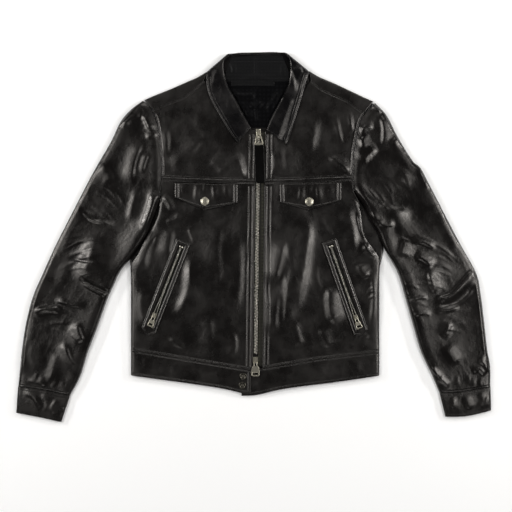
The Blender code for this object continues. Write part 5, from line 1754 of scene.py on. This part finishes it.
class HandPocket:
    """A slanted pocket: stitched welt with a slot, its zip, slider and pull."""

    HALF, SLOT, END = 15.0, 6.0, 9.0
    POINT = {"left": 12.0, "right": 7.0}

    def __init__(self, side: Side, sewing: Stitcher, teeth: Teeth) -> None:
        """Takes the side, who sews it and who makes its teeth."""
        self.key = side.value
        self.sewing = sewing
        self.teeth = teeth
        self.top, self.bottom = (np.array(p, float) for p in WELT[self.key])
        self.length = float(np.linalg.norm(self.bottom - self.top))
        self.along = (self.bottom - self.top) / self.length
        self.across = np.array([-self.along[1], self.along[0]])

    def at(self, d: float, w: float) -> np.ndarray:
        """A place on the welt: d down from its upper end and w across."""
        return self.top + self.along * d + self.across * w

    def point(self, w: np.ndarray | float) -> np.ndarray | float:
        """How far the frame's lower end reaches past its corners, w across from its middle."""
        return self.POINT[self.key] * (1 - np.abs(w) / self.HALF)

    def build(self) -> None:
        """Makes welt, tape, teeth and top stops; the slider and pull are cast pieces."""
        self.welt()
        self.zip()

    def lip_height(self, places: np.ndarray) -> np.ndarray:
        """The frame's face over the front, rounded at the outline and at the slot."""
        rel = places - self.top
        d, w = rel @ self.along, np.abs(rel @ self.across)
        outside = np.minimum(self.HALF - w, np.minimum(d, (self.length + self.point(w) - d) * 0.8))
        beyond = np.maximum(self.END - d, d - (self.length - self.END))
        slot = np.where(beyond > 0, np.hypot(np.maximum(w - self.SLOT, 0), beyond), w - self.SLOT)
        return front_height(places) + 3.3 - 1.3 * (1 - rolled(outside, 2.4)) - 1.6 * (1 - rolled(slot, 2.4))

    def welt(self) -> None:
        """A leather frame round the slot, rolled in at the slot and stitched round its outside."""
        ends = self.length - self.END
        lengths = np.concatenate([np.linspace(0, self.END, 11), np.linspace(self.END, ends, 120)[1:-1],
                                  np.linspace(ends, self.length, 11)])
        side = np.linspace(self.SLOT, self.HALF, 14)
        widths = np.concatenate([-side[::-1], np.linspace(-self.SLOT, self.SLOT, 8)[1:-1], side])
        plan = np.array([[self.at(d + self.point(w) * smooth(ends, self.length, d), w) for w in widths]
                         for d in lengths])
        inset = 2.8
        half = self.HALF - inset
        corners = [self.at(inset, -half), self.at(inset, half), self.at(self.length - inset * 0.4, half),
                   self.at(self.length + self.point(0) - inset * 1.5, 0),
                   self.at(self.length - inset * 0.4, -half), self.at(inset, -half)]
        box = [at_lengths(np.array(pair), np.linspace(0.01, 0.99, 24))
               for pair in zip(corners, corners[1:])]
        relief = Relief(self.lip_height, (), box, crumple_way=90, crumple_rise=0.15, seed=95)
        obj = relief.sheet(f"welt_leather_{self.key}", plan, SHELL, 1.8)
        with edited(obj.data) as bm:
            opening = []
            for face in bm.faces:
                rel = np.array(face.calc_center_median()[:2]) / MM - self.top
                d, w = float(rel @ self.along), abs(float(rel @ self.across))
                if self.END < d < ends and w < self.SLOT:
                    opening.append(face)
            bmesh.ops.delete(bm, geom=opening, context="FACES")
        for row in box:
            self.sewing.sew(row, relief.heights(row))
        dress(obj, "garment", "leather", f"welt_{self.key}")

    def zip(self) -> None:
        """The tape in the slot, its top stops, and the teeth, which part towards the slider."""
        lengths = np.linspace(self.END + 0.6, self.length - self.END - 0.6, 60)
        widths = np.linspace(-5.7, 5.7, 9)
        plan = np.array([[self.at(d, w) for w in widths] for d in lengths])
        relief = Relief(lambda p: front_height(p) + 1.0, crumple_way=90, crumple_rise=0.15, seed=96)
        obj = relief.sheet(f"pocket_zip_tape_{self.key}", plan, POCKET_TAPE, 0.8)
        dress(obj, "garment", "zip_tape", f"pocket_zip_{self.key}")
        ds = np.linspace(self.END + 6, self.length - 26 - 8, 60)
        middle = np.array([self.at(d, 0) for d in ds])
        apart = 0.9 + 1.7 * smooth(0.72, 1.0, np.linspace(0, 1, 60))[:, None]
        chain = self.teeth.chain(f"pocket_zip_teeth_{self.key}", middle, front_height(middle) + 2.2, apart,
                                 1.8, (1.05, 1.6, 1.5), POCKET_TEETH)
        dress(chain, "garment", "nickel")
        for k, w in enumerate((-2.3, 2.3)):
            place = self.at(self.END + 3.4, w)
            z = float(front_height(place[None])[0]) + 1.0
            stop = Snap(*STOP_CAP, TEETH_METAL).build(f"pocket_top_stop_{self.key}_{k}", (*place, z))
            dress(stop, "garment", "nickel")


# ---- Front zip ---------------------------------------------------------------------------------------
class FrontZip:
    """The front zip's tapes and teeth; the stitched leather tab of its upper pull is made with the cast
    metal.
    """

    def __init__(self, teeth: Teeth) -> None:
        """Takes who makes its teeth."""
        self.teeth = teeth

    def build(self) -> None:
        """Makes the pieces that replace CAD nodes."""
        for side, way in (("left", -1), ("right", 1)):
            ys = np.linspace(-250, 202, 160)
            reach = np.linspace(4.6, 19, 8)
            plan = np.array([[(zip_x(y) + way * r, y) for r in reach] for y in ys])
            relief = Relief(level(3.5), crumple_rise=0.2, seed=97)
            obj = relief.sheet(f"front_zip_tape_{side}", plan, ZIP_TAPE, 0.9)
            dress(obj, "garment", "zip_tape", f"zip_tape_{side}")
        ys = np.linspace(193, ZIP_BOTTOM_Y, 120)
        middle = np.column_stack([zip_x(ys), ys])
        chain = self.teeth.chain("front_zip_teeth", middle, np.full(len(ys), 4.8), 1.6, 2.9, (1.25, 3.6, 2.4),
                                 TEETH_METAL)
        dress(chain, "garment", "nickel", "zip_chain")


class Hardware:
    """The cast metal: each piece has its CAD shape with its edges rounded over."""

    PIECES = {"zip_slider_top": "garment", "zip_slider_bottom": "garment", "zip_clip_top": "pull_top",
              "zip_pull_bottom": "pull_bottom", "pocket_slider_left": "garment",
              "pocket_slider_right": "garment", "pocket_pull_left": "pull_pocket_left",
              "pocket_pull_right": "pull_pocket_right"}

    def build(self) -> None:
        """Makes the cast pieces, the leather tab and the band's snaps."""
        for name, body in self.PIECES.items():
            dress(self.rounded(name, NICKEL, 0.38), body, "nickel", name)
        dress(self.rounded("zip_tab_top", TAB_HIDE, 0.8), "pull_top", "collar_leather", "zip_tab_top")
        for name, (x, y) in BAND_SNAPS.items():
            z = float(Waistband.height("left")(np.array([[x, y]]))[0])
            cap = Snap(*BAND_CAP, DARK_NICKEL, ring=True)
            snap = cap.build(f"band_snap_cap_{name}", (x, y, z - 0.2))
            dress(snap, "garment", "dark_nickel", f"band_snap_{name}")

    @staticmethod
    def rounded(node: str, finish: Finish, radius: float) -> bpy.types.Object:
        """A copy of a CAD node's mesh, merged, with its edges rounded to a radius in mm."""
        bm = bmesh.new()
        bm.from_mesh(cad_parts[node].data)
        bmesh.ops.remove_doubles(bm, verts=bm.verts, dist=0.01 * MM)
        bmesh.ops.dissolve_limit(bm, angle_limit=math.radians(2), verts=bm.verts, edges=bm.edges)
        sharp = [edge for edge in bm.edges if edge.calc_face_angle(0) > math.radians(25)]
        bmesh.ops.bevel(bm, geom=sharp, offset=radius * MM, segments=2, profile=0.6, affect="EDGES",
                        clamp_overlap=True)
        bmesh.ops.recalc_face_normals(bm, faces=bm.faces)
        mesh = bpy.data.meshes.new(node + "_rounded")
        bm.to_mesh(mesh)
        bm.free()
        obj = make_object(node + "_rounded", mesh, finish)
        mesh.polygons.foreach_set("use_smooth", [False] * len(mesh.polygons))
        return obj


# ---- Studio ------------------------------------------------------------------------------------------
@dataclass(frozen=True)
class Studio:
    """A white board, a broad soft light from each side, and a camera straight above."""

    board: float = 12.0
    lens: float = 85.0
    view_height: float = 2.333
    middle: tuple[float, float] = (0.0048, -0.0376)
    world: float = 0.06
    far: float = 1.9

    # Name, way from the jacket, power in W, height and width in m, and degrees over the board.
    LAMPS = (
        ("window_left", (-1.0, 0.12), 9.8, (1.0, 1.6), 50.0),
        ("window_right", (1.0, 0.05), 9.6, (1.0, 1.6), 50.0),
        ("core_left", (-1.0, 0.2), 6.6, (0.4, 0.7), 47.0),
        ("core_right", (1.0, 0.0), 6.4, (0.4, 0.7), 47.0),
        ("window_head", (0.08, 1.0), 6.6, (0.4, 1.2), 38.0),
        ("window_foot", (-0.05, -1.0), 4.6, (0.4, 1.2), 38.0),
        ("low_left", (-1.0, 0.3), 13.0, (0.16, 0.7), 20.0),
        ("low_right", (1.0, 0.3), 13.0, (0.16, 0.7), 20.0),
    )

    def build(self) -> None:
        """Makes floor, lights, world and camera."""
        self.floor()
        for lamp in self.LAMPS:
            self.light(*lamp)
        self.sky()
        self.camera()
        bpy.context.scene.view_settings.view_transform = "Standard"
        bpy.context.scene.view_settings.look = "None"

    def floor(self) -> None:
        """The board that the jacket lies on."""
        mesh = bpy.data.meshes.new("board")
        with edited(mesh) as bm:
            bmesh.ops.create_grid(bm, x_segments=8, y_segments=8, size=self.board / 2)
        make_object("board", mesh, MattBoard())

    def light(self, name: str, way: tuple[float, float], power: float, size: tuple[float, float],
              tilt: float) -> None:
        """A soft box beside the board, aimed at the jacket.

        Args:
            name: Its name.
            way: The way along the board in which it stands.
            power: Its power, W.
            size: Its height and its width, m.
            tilt: How high it stands over the board, degrees.
        """
        data = bpy.data.lights.new(name, "AREA")
        data.shape = "RECTANGLE"
        data.size, data.size_y = size
        data.energy = power
        data.color = (1.0, 0.99, 0.975)
        lamp = bpy.data.objects.new(name, data)
        a = math.radians(tilt)
        flat = Vector((*way, 0)).normalized() * self.far * math.cos(a)
        lamp.location = flat + Vector((0, 0, self.far * math.sin(a)))
        back = (lamp.location - Vector((0, -0.02, 0))).normalized()
        side = Vector((0, 0, 1)).cross(back).normalized()
        turn = Matrix((back.cross(side), side, back)).transposed()
        lamp.rotation_euler = turn.to_euler()
        bpy.context.scene.collection.objects.link(lamp)

    def sky(self) -> None:
        """An even pale surround."""
        world = bpy.data.worlds.new("pale_room")
        world.use_nodes = True
        back = world.node_tree.nodes["Background"]
        back.inputs["Color"].default_value = linear("#ffffff")
        back.inputs["Strength"].default_value = self.world
        bpy.context.scene.world = world

    def camera(self) -> None:
        """The camera, looking straight down."""
        data = bpy.data.cameras.new("camera")
        data.lens = self.lens
        data.sensor_width = 36.0
        camera = bpy.data.objects.new("camera", data)
        camera.location = (*self.middle, self.view_height)
        bpy.context.scene.collection.objects.link(camera)
        bpy.context.scene.camera = camera


def main() -> None:
    """Builds the jacket piece by piece."""
    logging.basicConfig(level=logging.INFO, format="%(message)s")
    sewing, teeth = Stitcher(), Teeth()
    Back().build()
    for side in Side:
        Fronts(side, sewing).build()
        Sleeve(side, sewing).build()
        ChestPocket(side, sewing).build()
        HandPocket(side, sewing, teeth).build()
    Waistband(sewing).build()
    Collar(sewing).build()
    NeckInside().build()
    FrontZip(teeth).build()
    Hardware().build()
    dress(sewing.finish("stitching"), "garment", "leather")
    Studio().build()


if __name__ == "__main__":
    main()
